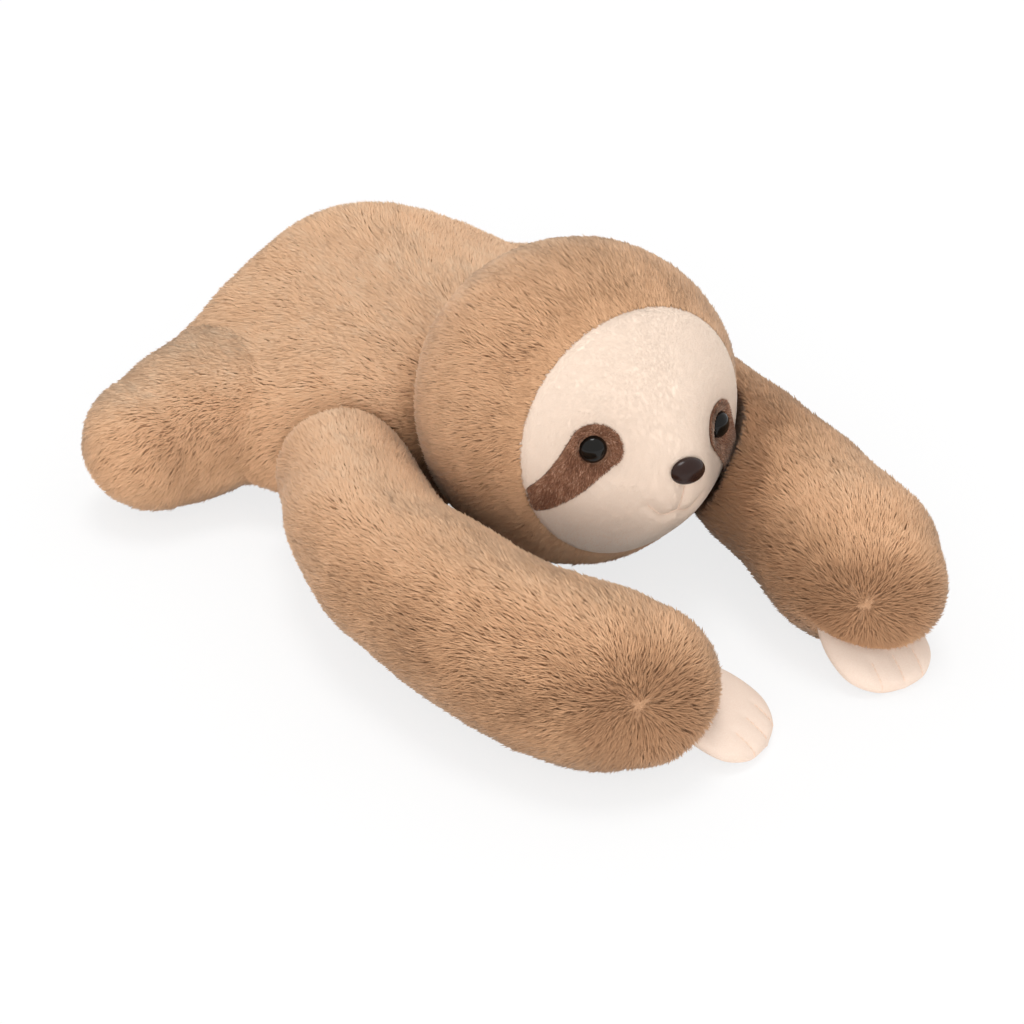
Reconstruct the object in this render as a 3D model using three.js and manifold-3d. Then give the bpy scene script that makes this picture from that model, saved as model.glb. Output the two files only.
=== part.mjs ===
// A plush sloth lying on its belly: a sewn and stuffed toy with a hooded head, long arms and short legs.
// Millimetres, +Z up. The sloth faces -Y, and +X is its own left side. The origin is the middle of the flat
// of its belly, where it rests on the floor. Places are worked out from the point on the floor in the middle
// of its neck's width, under the middle of its head, and all of it is moved to the origin at the end.
import * as THREE from "three";
import { mergeVertices } from "three/addons/utils/BufferGeometryUtils.js";
import Module from "manifold-3d";

const wasm = await Module();
wasm.setup();
const degrees = THREE.MathUtils.degToRad;

// Fabric, thread and fits shared by all pieces
const fabric = {
  pile: 5.5, // wall of a long-pile skin, backing and pile together
  velour: 2.2, // wall of the short-pile claw pads
  fit: 0.3, // space between pieces that lie against each other
  thread: 1.2, // diameter of the doubled sewing thread
  flat: 0.5, // depth to which a soft form settles flat on the floor
  rub: 0.9, // space between two skins that press together and move apart
  overrun: 40, // how far a cutting shape runs past what it cuts
};
const seam = fabric.thread + 2 * fabric.fit; // room for a ring of stitches between two skins

// Head: a ball under a hood, with a broad low muzzle
const head = {
  radius: 74,
  overFloor: 0.5,
  aside: 6.5, // how far it lies over to its left
  tilt: degrees(7),
  recess: 2.8, // how much lower the short face pile lies than the hood
  panel: 2.6, // thickness of the face panel
  muzzleOut: 10.5,
  muzzleDrop: 8, // of the muzzle's middle below the middle of the head
  faceHalfWidth: 58,
  faceHalfHeight: 56,
  faceRise: 4, // of the middle of the face above the middle of the head
  socket: 7, // depth to which the face is drawn in at each eye
  socketReach: 17, // how far from an eye it is drawn in
  opening: 26, // radius of the opening that it is stuffed through
  ring: 38, // radius of the ring of stitches that holds it to the body
  neckSlope: degrees(4),
};
const eye = { radius: 6, dome: 4.6, apart: 66, rise: 8.5, shank: 2, shankLength: 15 };
const patch = { thickness: 1.2, above: 1.5, eyeEnd: 11, tailEnd: 6.5, tailOut: 19, tailDrop: 27 };
const nose = { halfWidth: 8.8, halfHeight: 5.8, dome: 4.6, rise: 3, shank: 2.2, shankLength: 15 };
const washer = { radius: 7.5, thickness: 1.5 };
const mouth = { halfWidth: 14, corner: 13.5, low: 18.5, middle: 16.5, top: 4.5, thread: 1 };

// Body: a fat pillow, broad and low in front, humped over the rump
const body = {
  front: 30,
  rear: 212,
  halfWidth: 112,
  height: 107,
  bend: 16, // how far the rump lies over to its right
  restBack: 125, // from under the middle of the head back to the middle of the belly's flat
};

// Arms: long stuffed sausages that bow round the head
const arm = {
  radius: 41,
  root: 32, // radius of the ball at the shoulder
  length: 202,
  halfSpan: 89, // half the distance between the shoulders
  aside: 2.8, // how far both shoulders lie over to its left, under the head
  shoulderBack: 52, // from the middle of the head back to a shoulder
  shoulderHeight: 38,
  opening: 14,
  openingTurn: degrees(20), // of the opening, from straight back towards the middle
  ring: 18,
  drop: degrees(30), // from rest downwards, about the shoulder
  spread: degrees(60), // from rest outwards, about the shoulder
};

// Legs: short stubs splayed out at the back corners of the body
const leg = {
  root: 37, // radius of the ball at the hip
  foot: 33.5,
  swell: 3.5, // of the calf
  hipOut: 84,
  hipBack: 150,
  hipHeight: 36,
  footOut: 133,
  footBack: 140,
  opening: 20,
  swing: degrees(12), // either way, about the hip
};

// Claw pads: flat velour paddles sewn into the ends of the arms
const claw = {
  length: 54,
  width: 47,
  thickness: 14,
  tilt: degrees(24), // up from its tip, which rests on the floor
  tipDrop: 3.7, // how far the tilted tip comes down to reach the floor
  thread: 0.8,
  rowCount: 3,
  rowSpreadShare: 0.9,
  rowStartShare: 0.27, // from the pad's middle towards its tip, as a share of its length
  rowEndShare: 0.43,
  right: { aside: 33.2, ahead: 146.5, turn: degrees(31) },
  left: { aside: 56.8, ahead: 143.5, turn: degrees(4) },
};

// Looks
const looks = {
  fur: { color: 0xc69b78, roughness: 0.95, metalness: 0 },
  velour: { color: 0xf1dccb, roughness: 0.9, metalness: 0 },
  patch: { color: 0x7a543f, roughness: 0.92, metalness: 0 },
  gloss: { color: 0x140d0b, roughness: 0.08, metalness: 0 },
  washer: { color: 0xe8e6e0, roughness: 0.5, metalness: 0 },
  stuffing: { color: 0xf6f4ef, roughness: 0.98, metalness: 0 },
  thread: { color: 0xd9b092, roughness: 0.7, metalness: 0 },
};

// How finely each form is drawn: sections along it, points around it and rings in each round end
const grain = {
  seatCount: 22,
  ballCount: 16,
  ballInsideCount: 12,
  body: [16, 16],
  bodyInside: [11, 12],
  arm: [9, 14, 3],
  armInside: [7, 9, 2],
  leg: [3, 14, 3],
  legInside: [3, 9, 2],
  claw: [8, 12],
  clawInside: [6, 8],
  head: [20, 30],
  headInside: [16, 22],
  outlineCount: 10,
  eyeCount: 16,
  noseCount: 20,
  barCount: 16,
  washerCount: 16,
  smileCount: 16,
  lipCount: 5,
  rimCount: 12,
};

// Places
const up = new THREE.Vector3(0, 0, 1);
const acrossBody = new THREE.Vector3(1, 0, 0);
const sides = { right: -1, left: 1 };
const headPlace = new THREE.Vector3(head.aside, 0, head.radius + head.overFloor);
const bodyLength = body.rear - body.front;

// How far the body's middle lies to its right, at a distance behind the head
function bendAt(y) {
  return -body.bend * Math.max(0, (y - body.front) / bodyLength) ** 1.5;
}

function shoulderAt(side) {
  return new THREE.Vector3(sides[side] * arm.halfSpan + arm.aside, arm.shoulderBack, arm.shoulderHeight);
}

function hipAt(side) {
  return new THREE.Vector3(sides[side] * leg.hipOut + bendAt(leg.hipBack), leg.hipBack, leg.hipHeight);
}

function footAt(side) {
  const x = sides[side] * leg.footOut + bendAt(leg.hipBack);
  return new THREE.Vector3(x, leg.footBack, leg.foot - fabric.flat);
}

// A closed mesh as a solid whose faces point out
function solidOf(geometry) {
  const bare = new THREE.BufferGeometry();
  bare.setAttribute("position", geometry.attributes.position.clone());
  if (geometry.index) bare.setIndex(geometry.index.clone());
  const merged = mergeVertices(bare, fabric.fit / 1000);
  const faces = new Uint32Array(merged.index.array);
  const vertices = new Float32Array(merged.attributes.position.array);
  const solid = () => new wasm.Manifold(
    new wasm.Mesh({ numProp: 3, vertProperties: vertices, triVerts: faces }));
  const made = solid();
  if (made.volume() > 0) return made;
  for (let i = 0; i < faces.length; i += 3) [faces[i], faces[i + 1]] = [faces[i + 1], faces[i]];
  return solid();
}

// The largest of the bodies that a cut leaves
function largestOf(solid) {
  return solid.decompose().reduce((most, piece) => (piece.volume() > most.volume() ? piece : most));
}

function geometryOf(solid) {
  const mesh = largestOf(solid).getMesh();
  const geometry = new THREE.BufferGeometry();
  geometry.setAttribute("position", new THREE.BufferAttribute(new Float32Array(mesh.vertProperties), 3));
  geometry.setIndex(new THREE.BufferAttribute(new Uint32Array(mesh.triVerts), 1));
  return geometry;
}

function cutBy(solid, cutters) {
  return cutters.reduce((left, cutter) => left.subtract(cutter), solid);
}

// A closed form from rings of points, one after another, with a pole at either end
function formOver(startPole, rings, endPole) {
  const count = rings[0].length;
  const points = [startPole, ...rings.flat(), endPole];
  const last = points.length - 1;
  const faces = [];
  for (let i = 0; i < count; i++) {
    const next = (i + 1) % count;
    faces.push(0, 1 + next, 1 + i);
    faces.push(last, last - count + i, last - count + next);
    for (let ring = 0; ring < rings.length - 1; ring++) {
      const a = 1 + ring * count;
      const b = a + count;
      faces.push(a + i, a + next, b + i, a + next, b + next, b + i);
    }
  }
  const geometry = new THREE.BufferGeometry().setFromPoints(points);
  geometry.setIndex(faces);
  return solidOf(geometry);
}

// A column of a table of shares, read at a share along it on a smooth curve
function shareAt(rows, column, share) {
  const points = rows.map((row) => new THREE.Vector3(row[0], row[column], 0));
  const curve = new THREE.CatmullRomCurve3(points, false, "centripetal");
  let low = 0;
  let high = 1;
  for (let halving = 0; halving < 24; halving++) {
    const middle = (low + high) / 2;
    if (curve.getPoint(middle).x < share) low = middle;
    else high = middle;
  }
  return curve.getPoint(low).y;
}

// A ball whose flat faces lie no nearer its middle than the radius
function ball(centre, radius, around = grain.ballCount) {
  const shrink = Math.cos(Math.PI / around) * Math.cos(Math.PI / around);
  const geometry = new THREE.SphereGeometry(radius / shrink, around, around / 2);
  geometry.rotateX(Math.PI / 2);
  return solidOf(geometry.translate(centre.x, centre.y, centre.z));
}

function turnTo(geometry, direction, place) {
  geometry.applyQuaternion(new THREE.Quaternion().setFromUnitVectors(new THREE.Vector3(0, 1, 0), direction));
  return geometry.translate(place.x, place.y, place.z);
}

// A round bar from a point along a direction
function bar(from, direction, radius, length, around = grain.barCount) {
  const geometry = new THREE.CylinderGeometry(radius, radius, length, around);
  return solidOf(turnTo(geometry.translate(0, length / 2, 0), direction, from));
}

// A length of thread along a curve
function threadAlong(curve, diameter, steps) {
  const section = new THREE.Shape().absarc(0, 0, diameter / 2, 0, 2 * Math.PI);
  return solidOf(new THREE.ExtrudeGeometry(section, {
    extrudePath: curve, steps, curveSegments: 3, bevelEnabled: false }));
}

// A ring of stitches between two balls that share a middle
function stitchRing(centre, innerRadius, ringRadius, direction) {
  const reach = innerRadius + seam / 2;
  const away = Math.sqrt(reach ** 2 - ringRadius ** 2);
  const geometry = new THREE.TorusGeometry(ringRadius, fabric.thread / 2, 4, 24).rotateX(Math.PI / 2);
  return solidOf(turnTo(geometry, direction, centre.clone().addScaledVector(direction, away)));
}

const floorSide = 2 * body.rear;
const underFloor = solidOf(new THREE.BoxGeometry(floorSide, floorSide, fabric.overrun)
  .translate(0, 0, -fabric.overrun / 2));

// A rounded section: its half width, the heights of its top, widest line and bottom, and how full it is
function sectionRing(middle, y, half, { top, widest, bottom }, [topPower, bottomPower], around) {
  return Array.from({ length: around }, (_, k) => {
    const angle = (2 * Math.PI * k) / around;
    const upper = Math.sin(angle) > 0;
    const power = upper ? topPower : bottomPower;
    const across = Math.sign(Math.cos(angle)) * Math.abs(Math.cos(angle)) ** (2 / power);
    const rise = Math.abs(Math.sin(angle)) ** (2 / power);
    const z = upper ? widest + (top - widest) * rise : widest - (widest - bottom) * rise;
    return new THREE.Vector3(middle + half * across, y, z);
  });
}

// Body: along it, its half width, top and bottom, as shares of its length, half width and height
const bodyShares = [
  [0, 0, 0.45, 0.45],
  [0.03, 0.4, 0.62, 0.28],
  [0.1, 0.6, 0.74, 0.1],
  [0.24, 0.82, 0.83, 0],
  [0.44, 0.96, 0.9, 0],
  [0.64, 1, 0.955, 0],
  [0.82, 0.9, 1.045, 0],
  [0.93, 0.66, 0.92, 0.05],
  [0.985, 0.34, 0.66, 0.2],
  [1, 0, 0.42, 0.42],
];
const bodyWidestShare = 0.36;
const bodyTopPower = 1.64;
const bodyBottomPower = 2.7;

function bodyForm(inset, [stations, around]) {
  const front = body.front + inset;
  const rear = body.rear - inset;
  const heights = (share) => {
    const top = body.height * shareAt(bodyShares, 2, share) - inset;
    const bottom = body.height * shareAt(bodyShares, 3, share) - fabric.flat + inset;
    return { top, bottom, widest: bottom + (top - bottom) * bodyWidestShare };
  };
  const rings = [];
  for (let i = 1; i < stations; i++) {
    const share = (1 - Math.cos((Math.PI * i) / stations)) / 2;
    const half = Math.max(body.halfWidth * shareAt(bodyShares, 1, share) - inset, fabric.pile);
    const y = front + (rear - front) * share;
    rings.push(sectionRing(bendAt(y), y, half, heights(share), [bodyTopPower, bodyBottomPower], around));
  }
  const pole = (y, share) => new THREE.Vector3(bendAt(y), y, heights(share).widest);
  return formOver(pole(front, 0), rings, pole(rear, 1));
}

// Limb: round sections across a curve, with a ball at its root and a round end
function limbForm(curve, radiusAt, inset, [stations, around, capRings]) {
  const rings = [];
  const ringAt = (centre, along, radius) => {
    const side = new THREE.Vector3().crossVectors(along, up).normalize();
    const over = new THREE.Vector3().crossVectors(side, along);
    rings.push(Array.from({ length: around }, (_, k) => {
      const angle = (2 * Math.PI * k) / around;
      const point = centre.clone().addScaledVector(side, radius * Math.cos(angle));
      return point.addScaledVector(over, radius * Math.sin(angle));
    }));
  };
  const cap = (share, way) => {
    const centre = curve.getPoint(share);
    const along = curve.getTangent(share);
    const radius = radiusAt(share) - inset;
    for (let i = 1; i < capRings; i++) {
      const angle = (Math.PI / 2) * (way > 0 ? 1 - i / capRings : i / capRings);
      const middle = centre.clone().addScaledVector(along, way * radius * Math.cos(angle));
      ringAt(middle, along, radius * Math.sin(angle));
    }
    return centre.addScaledVector(along, way * radius);
  };
  const root = cap(0, -1);
  for (let i = 0; i <= stations; i++) {
    const share = i / stations;
    ringAt(curve.getPoint(share), curve.getTangent(share), radiusAt(share) - inset);
  }
  const end = cap(1, 1);
  return formOver(root, rings, end);
}

// Arms: their thickness, and the places that each passes through as shares of half span, length and radius
const armThicknessShares = [[0, 0.83], [0.25, 0.85], [0.6, 0.9], [0.82, 0.92], [1, 0.83]];
const armPathShares = {
  right: [[1.2, 0.317, 0.95], [1.14, 0.629, 0.93], [0.92, 0.87, 0.84], [0.72, 0.95, 0.76]],
  left: [[0.9, 0.322, 0.93], [0.795, 0.589, 0.96], [0.735, 0.82, 0.88], [0.7, 0.93, 0.76]],
};

function armForm(side, inset, fineness, drop = 0) {
  const shoulder = shoulderAt(side);
  const places = armPathShares[side].map(([out, ahead, rise]) => {
    const place = new THREE.Vector3(shoulder.x * out, shoulder.y - arm.length * ahead, arm.radius * rise);
    return place.sub(shoulder).applyAxisAngle(acrossBody, drop).add(shoulder);
  });
  const curve = new THREE.CatmullRomCurve3([shoulder, ...places], false, "centripetal");
  const radiusAt = (share) => {
    const full = arm.radius * shareAt(armThicknessShares, 1, share);
    return full + (arm.root - full) * Math.max(0, 1 - share * 4) ** 2;
  };
  return limbForm(curve, radiusAt, inset, fineness);
}

function legForm(side, inset, fineness, swing = 0) {
  const toFoot = footAt(side).sub(hipAt(side)).applyAxisAngle(up, swing);
  const curve = new THREE.LineCurve3(hipAt(side), hipAt(side).add(toFoot));
  const radiusAt = (share) => (
    leg.root + (leg.foot - leg.root) * share + leg.swell * Math.sin(Math.PI * share));
  return limbForm(curve, radiusAt, inset, fineness);
}

// Head: a ball with a soft muzzle, in the head's own frame
const muzzleAim = new THREE.Vector3(0, -head.radius, -head.muzzleDrop).normalize();
const muzzlePower = 14; // a higher power keeps the muzzle smaller
const eyeAims = Object.values(sides).map((aside) => {
  const ahead = Math.sqrt(head.radius ** 2 - (eye.apart / 2) ** 2 - eye.rise ** 2);
  return new THREE.Vector3((aside * eye.apart) / 2, -ahead, eye.rise).normalize();
});

function headReach(direction, inset) {
  const out = head.muzzleOut * Math.max(0, direction.dot(muzzleAim)) ** muzzlePower;
  const nearness = eyeAims.reduce((sum, aim) => (
    sum + Math.exp(-(((direction.distanceTo(aim) * head.radius) / head.socketReach) ** 2))), 0);
  return head.radius - inset + out - head.socket * nearness;
}

function headForm(inset, [rings, around] = grain.head) {
  const pointAt = (polar, angle) => {
    const direction = new THREE.Vector3(
      Math.sin(polar) * Math.cos(angle), -Math.cos(polar), Math.sin(polar) * Math.sin(angle));
    return direction.clone().multiplyScalar(headReach(direction, inset));
  };
  const loops = Array.from({ length: rings - 1 }, (_, i) => Array.from({ length: around }, (__, k) => pointAt(
    (Math.PI * (i + 1)) / rings, (2 * Math.PI * k) / around)));
  return formOver(pointAt(0, 0), loops, pointAt(Math.PI, 0));
}

// The place on the face at a distance aside and a height, lifted off it
function onFace(aside, rise, lift) {
  let reach = head.radius;
  for (let round = 0; round < 16; round++) {
    const ahead = Math.sqrt(Math.max(reach ** 2 - aside ** 2 - rise ** 2, 0));
    reach = headReach(new THREE.Vector3(aside, -ahead, rise).normalize(), head.recess) + lift;
  }
  return new THREE.Vector3(aside, -Math.sqrt(Math.max(reach ** 2 - aside ** 2 - rise ** 2, 0)), rise);
}

// The way that the face looks there
function faceWay(aside, rise) {
  const across = onFace(aside + fabric.fit, rise, 0).sub(onFace(aside - fabric.fit, rise, 0));
  const upward = onFace(aside, rise + fabric.fit, 0).sub(onFace(aside, rise - fabric.fit, 0));
  return across.cross(upward).normalize();
}

// A flat outline, drawn as the face is seen from in front, carried through the front of the head
function faceCutter(outline) {
  const geometry = new THREE.ExtrudeGeometry(outline, {
    depth: head.radius + fabric.overrun, steps: 1, curveSegments: grain.outlineCount, bevelEnabled: false });
  return solidOf(geometry.rotateX(Math.PI / 2));
}

function faceOval(grow) {
  return faceCutter(new THREE.Shape().absellipse(
    0, head.faceRise, head.faceHalfWidth + grow, head.faceHalfHeight + grow, 0, 2 * Math.PI));
}

// A drop: a round end about the eye, and straight sides to a smaller round end at the tail
function patchOutline(side) {
  const aside = sides[side];
  const length = Math.hypot(patch.tailOut, patch.tailDrop);
  const lean = Math.asin((patch.eyeEnd - patch.tailEnd) / length);
  const along = Math.atan2(-patch.tailDrop, aside * patch.tailOut);
  const eyeX = (aside * eye.apart) / 2;
  const rise = eye.rise + patch.above;
  const points = [];
  for (const [x, z, radius, middle, half] of [
    [eyeX, rise, patch.eyeEnd, along + Math.PI, Math.PI / 2 + lean],
    [eyeX + aside * patch.tailOut, rise - patch.tailDrop, patch.tailEnd, along, Math.PI / 2 - lean],
  ]) {
    for (let i = 0; i <= 8; i++) {
      const angle = middle + half * ((2 * i) / 8 - 1);
      points.push(new THREE.Vector2(x + radius * Math.cos(angle), z + radius * Math.sin(angle)));
    }
  }
  return new THREE.Shape(points);
}

// A moulded feature with a domed front and a shank behind, from the middle of its back outwards
function shankedDome(size, halfWidth, halfHeight, around) {
  const profile = [new THREE.Vector2(0, -size.shankLength), new THREE.Vector2(size.shank, -size.shankLength),
    new THREE.Vector2(size.shank, 0)];
  for (let i = 0; i <= 5; i++) {
    const angle = (Math.PI / 2) * (i / 5);
    profile.push(new THREE.Vector2(i < 5 ? halfWidth * Math.cos(angle) : 0, size.dome * Math.sin(angle)));
  }
  const geometry = new THREE.LatheGeometry(profile, around);
  const places = geometry.attributes.position;
  for (let i = 0; i < places.count; i++) {
    if (places.getY(i) >= 0) places.setZ(i, (places.getZ(i) * halfHeight) / halfWidth);
  }
  return geometry;
}

function washerRing(hole) {
  const { radius, thickness } = washer;
  const profile = [[hole, 0], [radius, 0], [radius, thickness], [hole, thickness], [hole, 0]];
  return new THREE.LatheGeometry(profile.map(([x, y]) => new THREE.Vector2(x, y)), grain.washerCount);
}

const parts = new THREE.Group();
function addPart(name, solid, look, group = parts) {
  const mesh = new THREE.Mesh(geometryOf(solid), new THREE.MeshStandardMaterial(look));
  mesh.name = name;
  group.add(mesh);
}

// Claw pads: along each, its half width and half thickness as shares
const clawShares = [
  [0, 0, 0],
  [0.05, 0.5, 0.5],
  [0.2, 0.78, 0.82],
  [0.5, 0.98, 1],
  [0.75, 0.94, 0.9],
  [0.93, 0.6, 0.6],
  [1, 0, 0],
];
const clawPower = 2.2; // how full its section is

function clawForm(side, inset, [stations, around]) {
  const length = claw.length - 2 * inset;
  const middle = claw.thickness / 2 - fabric.flat;
  const rings = [];
  for (let i = 1; i < stations; i++) {
    const share = (1 - Math.cos((Math.PI * i) / stations)) / 2;
    const half = Math.max((claw.width / 2) * shareAt(clawShares, 1, share) - inset, fabric.fit);
    const thick = Math.max((claw.thickness / 2) * shareAt(clawShares, 2, share) - inset, fabric.fit);
    const heights = { top: middle + thick, widest: middle, bottom: middle - thick };
    const y = claw.length / 2 - inset - length * share;
    rings.push(sectionRing(0, y, half, heights, [clawPower, clawPower], around));
  }
  const pole = (y) => new THREE.Vector3(0, y, middle);
  return placeClaw(side, formOver(pole(claw.length / 2 - inset), rings, pole(inset - claw.length / 2)));
}

function placeClaw(side, solid) {
  const { aside, ahead, turn } = claw[side];
  const place = new THREE.Matrix4().makeTranslation(sides[side] * aside, -ahead, -claw.tipDrop);
  place.multiply(new THREE.Matrix4().makeRotationZ(-sides[side] * turn));
  place.multiply(new THREE.Matrix4().makeTranslation(0, -claw.length / 2, 0));
  place.multiply(new THREE.Matrix4().makeRotationX(claw.tilt));
  place.multiply(new THREE.Matrix4().makeTranslation(0, claw.length / 2, 0));
  return solid.transform(place.elements);
}

// The height of a claw pad's top at a distance aside and towards its tip
function clawTop(aside, ahead) {
  const share = 0.5 + ahead / claw.length;
  const half = (claw.width / 2) * shareAt(clawShares, 1, share);
  const thick = (claw.thickness / 2) * shareAt(clawShares, 2, share);
  const fall = (1 - Math.min(Math.abs(aside) / half, 1) ** clawPower) ** (1 / clawPower);
  return claw.thickness / 2 - fabric.flat + thick * fall;
}

function clawThread(side, places) {
  const lift = claw.thread / 2 + fabric.fit;
  const points = places.map(
    ([aside, ahead]) => new THREE.Vector3(aside, -ahead, clawTop(aside, ahead) + lift));
  return placeClaw(side, threadAlong(new THREE.CatmullRomCurve3(points), claw.thread, 5));
}

// Ways that the openings face, from the middle of each joint
const neckWay = new THREE.Vector3(0, Math.cos(head.neckSlope), Math.sin(head.neckSlope));

function shoulderWay(side) {
  return new THREE.Vector3(-sides[side] * Math.sin(arm.openingTurn), Math.cos(arm.openingTurn), 0);
}

function hipWay(side) {
  return new THREE.Vector3(-sides[side], 0, 0);
}

// The opening through the wall about a ball
function opening(centre, way, radius, reach) {
  return bar(centre, way, radius, reach + 2 * fabric.pile);
}

// Body
{
  const hollows = (grow, ballGrain) => [
    ball(headPlace, head.radius + seam + grow, grow > 0 ? ballGrain : grain.seatCount),
    ...Object.keys(sides).flatMap((side) => [
      ball(shoulderAt(side), arm.root + seam + grow, ballGrain),
      ball(hipAt(side), leg.root + fabric.fit + grow, ballGrain),
      ...[0, arm.drop].map((drop) => armForm(
        side, -fabric.rub - grow, grow > 0 ? grain.armInside : grain.arm, drop)),
      ...[-leg.swing, 0, leg.swing].map((swing) => legForm(
        side, -fabric.rub - grow, grow > 0 ? grain.legInside : grain.leg, swing)),
    ]),
  ];
  const openings = [
    opening(headPlace, neckWay, head.opening, head.radius + seam),
    ...Object.keys(sides).flatMap((side) => [
      opening(shoulderAt(side), shoulderWay(side), arm.opening, arm.root + seam),
      opening(hipAt(side), hipWay(side), leg.opening, leg.root + fabric.fit),
    ]),
  ];
  const outside = cutBy(bodyForm(0, grain.body), [underFloor, ...hollows(0, grain.ballCount)]);
  const inside = cutBy(bodyForm(fabric.pile, grain.bodyInside), hollows(fabric.pile, grain.ballInsideCount));
  const filling = fabric.pile + fabric.fit;
  addPart("body_skin", cutBy(outside.subtract(inside), openings), looks.fur);
  const fill = cutBy(bodyForm(filling, grain.bodyInside), hollows(filling, grain.ballInsideCount));
  addPart("body_stuffing", fill, looks.stuffing);
  addPart("neck_seam_stitches", stitchRing(headPlace, head.radius, head.ring, neckWay), looks.thread);
}

// Room for the head beside an arm: at rest, and with the arm part of the way down or out
const armMoveShares = [[0, 0], [0.3, 0], [0.5, 0], [0.8, 0], [1, 0], [0, 0.33]];

function headBeside(side, inset, ballGrain) {
  const shoulder = shoulderAt(side);
  return armMoveShares.map(([dropShare, spreadShare]) => {
    const turn = new THREE.Euler(arm.drop * dropShare, 0, sides[side] * arm.spread * spreadShare, "ZYX");
    const back = new THREE.Quaternion().setFromEuler(turn).invert();
    const place = headPlace.clone().sub(shoulder).applyQuaternion(back).add(shoulder);
    return ball(place, head.radius + fabric.rub + inset, ballGrain);
  });
}

// Arms, each with its ring of stitches and its claw pad
for (const side of Object.keys(sides)) {
  const pad = clawForm(side, -fabric.fit, grain.claw);
  const outside = cutBy(armForm(side, 0, grain.arm), [underFloor, ...headBeside(side, 0, grain.ballCount)]);
  const filling = fabric.pile + fabric.fit;
  const [inside, fill] = [fabric.pile, filling].map((inset) => cutBy(
    armForm(side, inset, grain.armInside), headBeside(side, inset, grain.ballInsideCount)));
  const mouthOfArm = opening(shoulderAt(side), shoulderWay(side), arm.opening, arm.root);
  addPart(`arm_skin_${side}`, cutBy(outside, [inside, mouthOfArm, pad]), looks.fur);
  addPart(`arm_stuffing_${side}`, fill.subtract(pad), looks.stuffing);
  const ring = stitchRing(shoulderAt(side), arm.root, arm.ring, shoulderWay(side));
  addPart(`shoulder_seam_stitches_${side}`, ring, looks.thread);

  const slit = placeClaw(side, bar(new THREE.Vector3(0, claw.length / 4, claw.thickness / 2 - fabric.flat),
    new THREE.Vector3(0, 1, 0), claw.thickness / 4, claw.length));
  const hollow = clawForm(side, fabric.velour, grain.clawInside);
  addPart(`claw_pad_${side}`, cutBy(clawForm(side, 0, grain.claw), [underFloor, hollow, slit]), looks.velour);
  const padding = clawForm(side, fabric.velour + fabric.fit, grain.clawInside);
  addPart(`claw_padding_${side}`, padding, looks.stuffing);
  const spread = (claw.width / (claw.rowCount + 1)) * claw.rowSpreadShare;
  const rowStart = claw.length * claw.rowStartShare;
  const rowEnd = claw.length * claw.rowEndShare;
  const across = ((claw.rowCount - 1) / 2) * spread;
  const rows = Array.from({ length: claw.rowCount }, (_, i) => {
    const aside = i * spread - across;
    return clawThread(side, [[aside, rowStart], [aside, (rowStart + rowEnd) / 2], [aside, rowEnd]]);
  });
  const end = across + spread / 4;
  const tie = clawThread(side, [[-end, rowStart], [0, rowStart], [end, rowStart]]);
  addPart(`claw_topstitching_${side}`, rows.reduce((all, row) => all.add(row), tie), looks.thread);
}

// Legs
for (const side of Object.keys(sides)) {
  const outside = legForm(side, 0, grain.leg).subtract(underFloor);
  const mouthOfLeg = opening(hipAt(side), hipWay(side), leg.opening, leg.root);
  const inside = legForm(side, fabric.pile, grain.legInside);
  addPart(`leg_skin_${side}`, cutBy(outside, [inside, mouthOfLeg]), looks.fur);
  addPart(`leg_stuffing_${side}`, legForm(side, fabric.pile + fabric.fit, grain.legInside), looks.stuffing);
}

// Head, tilted about its middle
const headGroup = new THREE.Group();
headGroup.position.copy(headPlace);
headGroup.rotation.y = head.tilt;
parts.add(headGroup);
const headWall = head.recess + head.panel;

// How far behind a place on the face a washer can lie flat against the inside of the face
function washerSeat(place, way) {
  const aside = new THREE.Vector3().crossVectors(way, up).normalize();
  const [rings, around] = grain.headInside;
  const shrink = Math.cos(Math.PI / around) * Math.cos(Math.PI / rings / 2);
  const spokes = Array.from(
    { length: grain.rimCount },
    (_, i) => aside.clone().applyAxisAngle(way, (2 * Math.PI * i) / grain.rimCount));
  const clear = (behind) => spokes.every((spoke) => [0, washer.radius].every((out) => {
    const edge = place.clone().addScaledVector(way, -behind).addScaledVector(spoke, out);
    return edge.length() < headReach(edge.clone().normalize(), headWall) * shrink - fabric.fit;
  }));
  let near = 0;
  let far = head.radius / 2;
  for (let halving = 0; halving < 24; halving++) {
    const middle = (near + far) / 2;
    if (clear(middle)) far = middle;
    else near = middle;
  }
  return far;
}

// A feature with its shank through the face, and the washer that grips the shank inside
function faceFeature(size, halfWidth, halfHeight, around, { aside, rise, lift }) {
  const way = faceWay(aside, rise);
  const place = onFace(aside, rise, 0).addScaledVector(way, lift);
  const behind = (distance) => place.clone().addScaledVector(way, -distance);
  const seat = washerSeat(place, way) + washer.thickness;
  const shankHole = bar(behind(size.shankLength + fabric.fit), way, size.shank + fabric.fit, head.radius);
  const washerRoom = bar(behind(seat + fabric.fit), way, washer.radius + fabric.fit, head.radius);
  const domeRoom = bar(behind(fabric.fit), way, halfWidth + fabric.fit, head.radius);
  return {
    dome: solidOf(turnTo(shankedDome(size, halfWidth, halfHeight, around), way, place)),
    ring: solidOf(turnTo(washerRing(size.shank + fabric.fit), way, behind(seat))),
    shankHole: shankHole.add(domeRoom),
    pocket: shankHole.add(washerRoom),
  };
}

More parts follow.
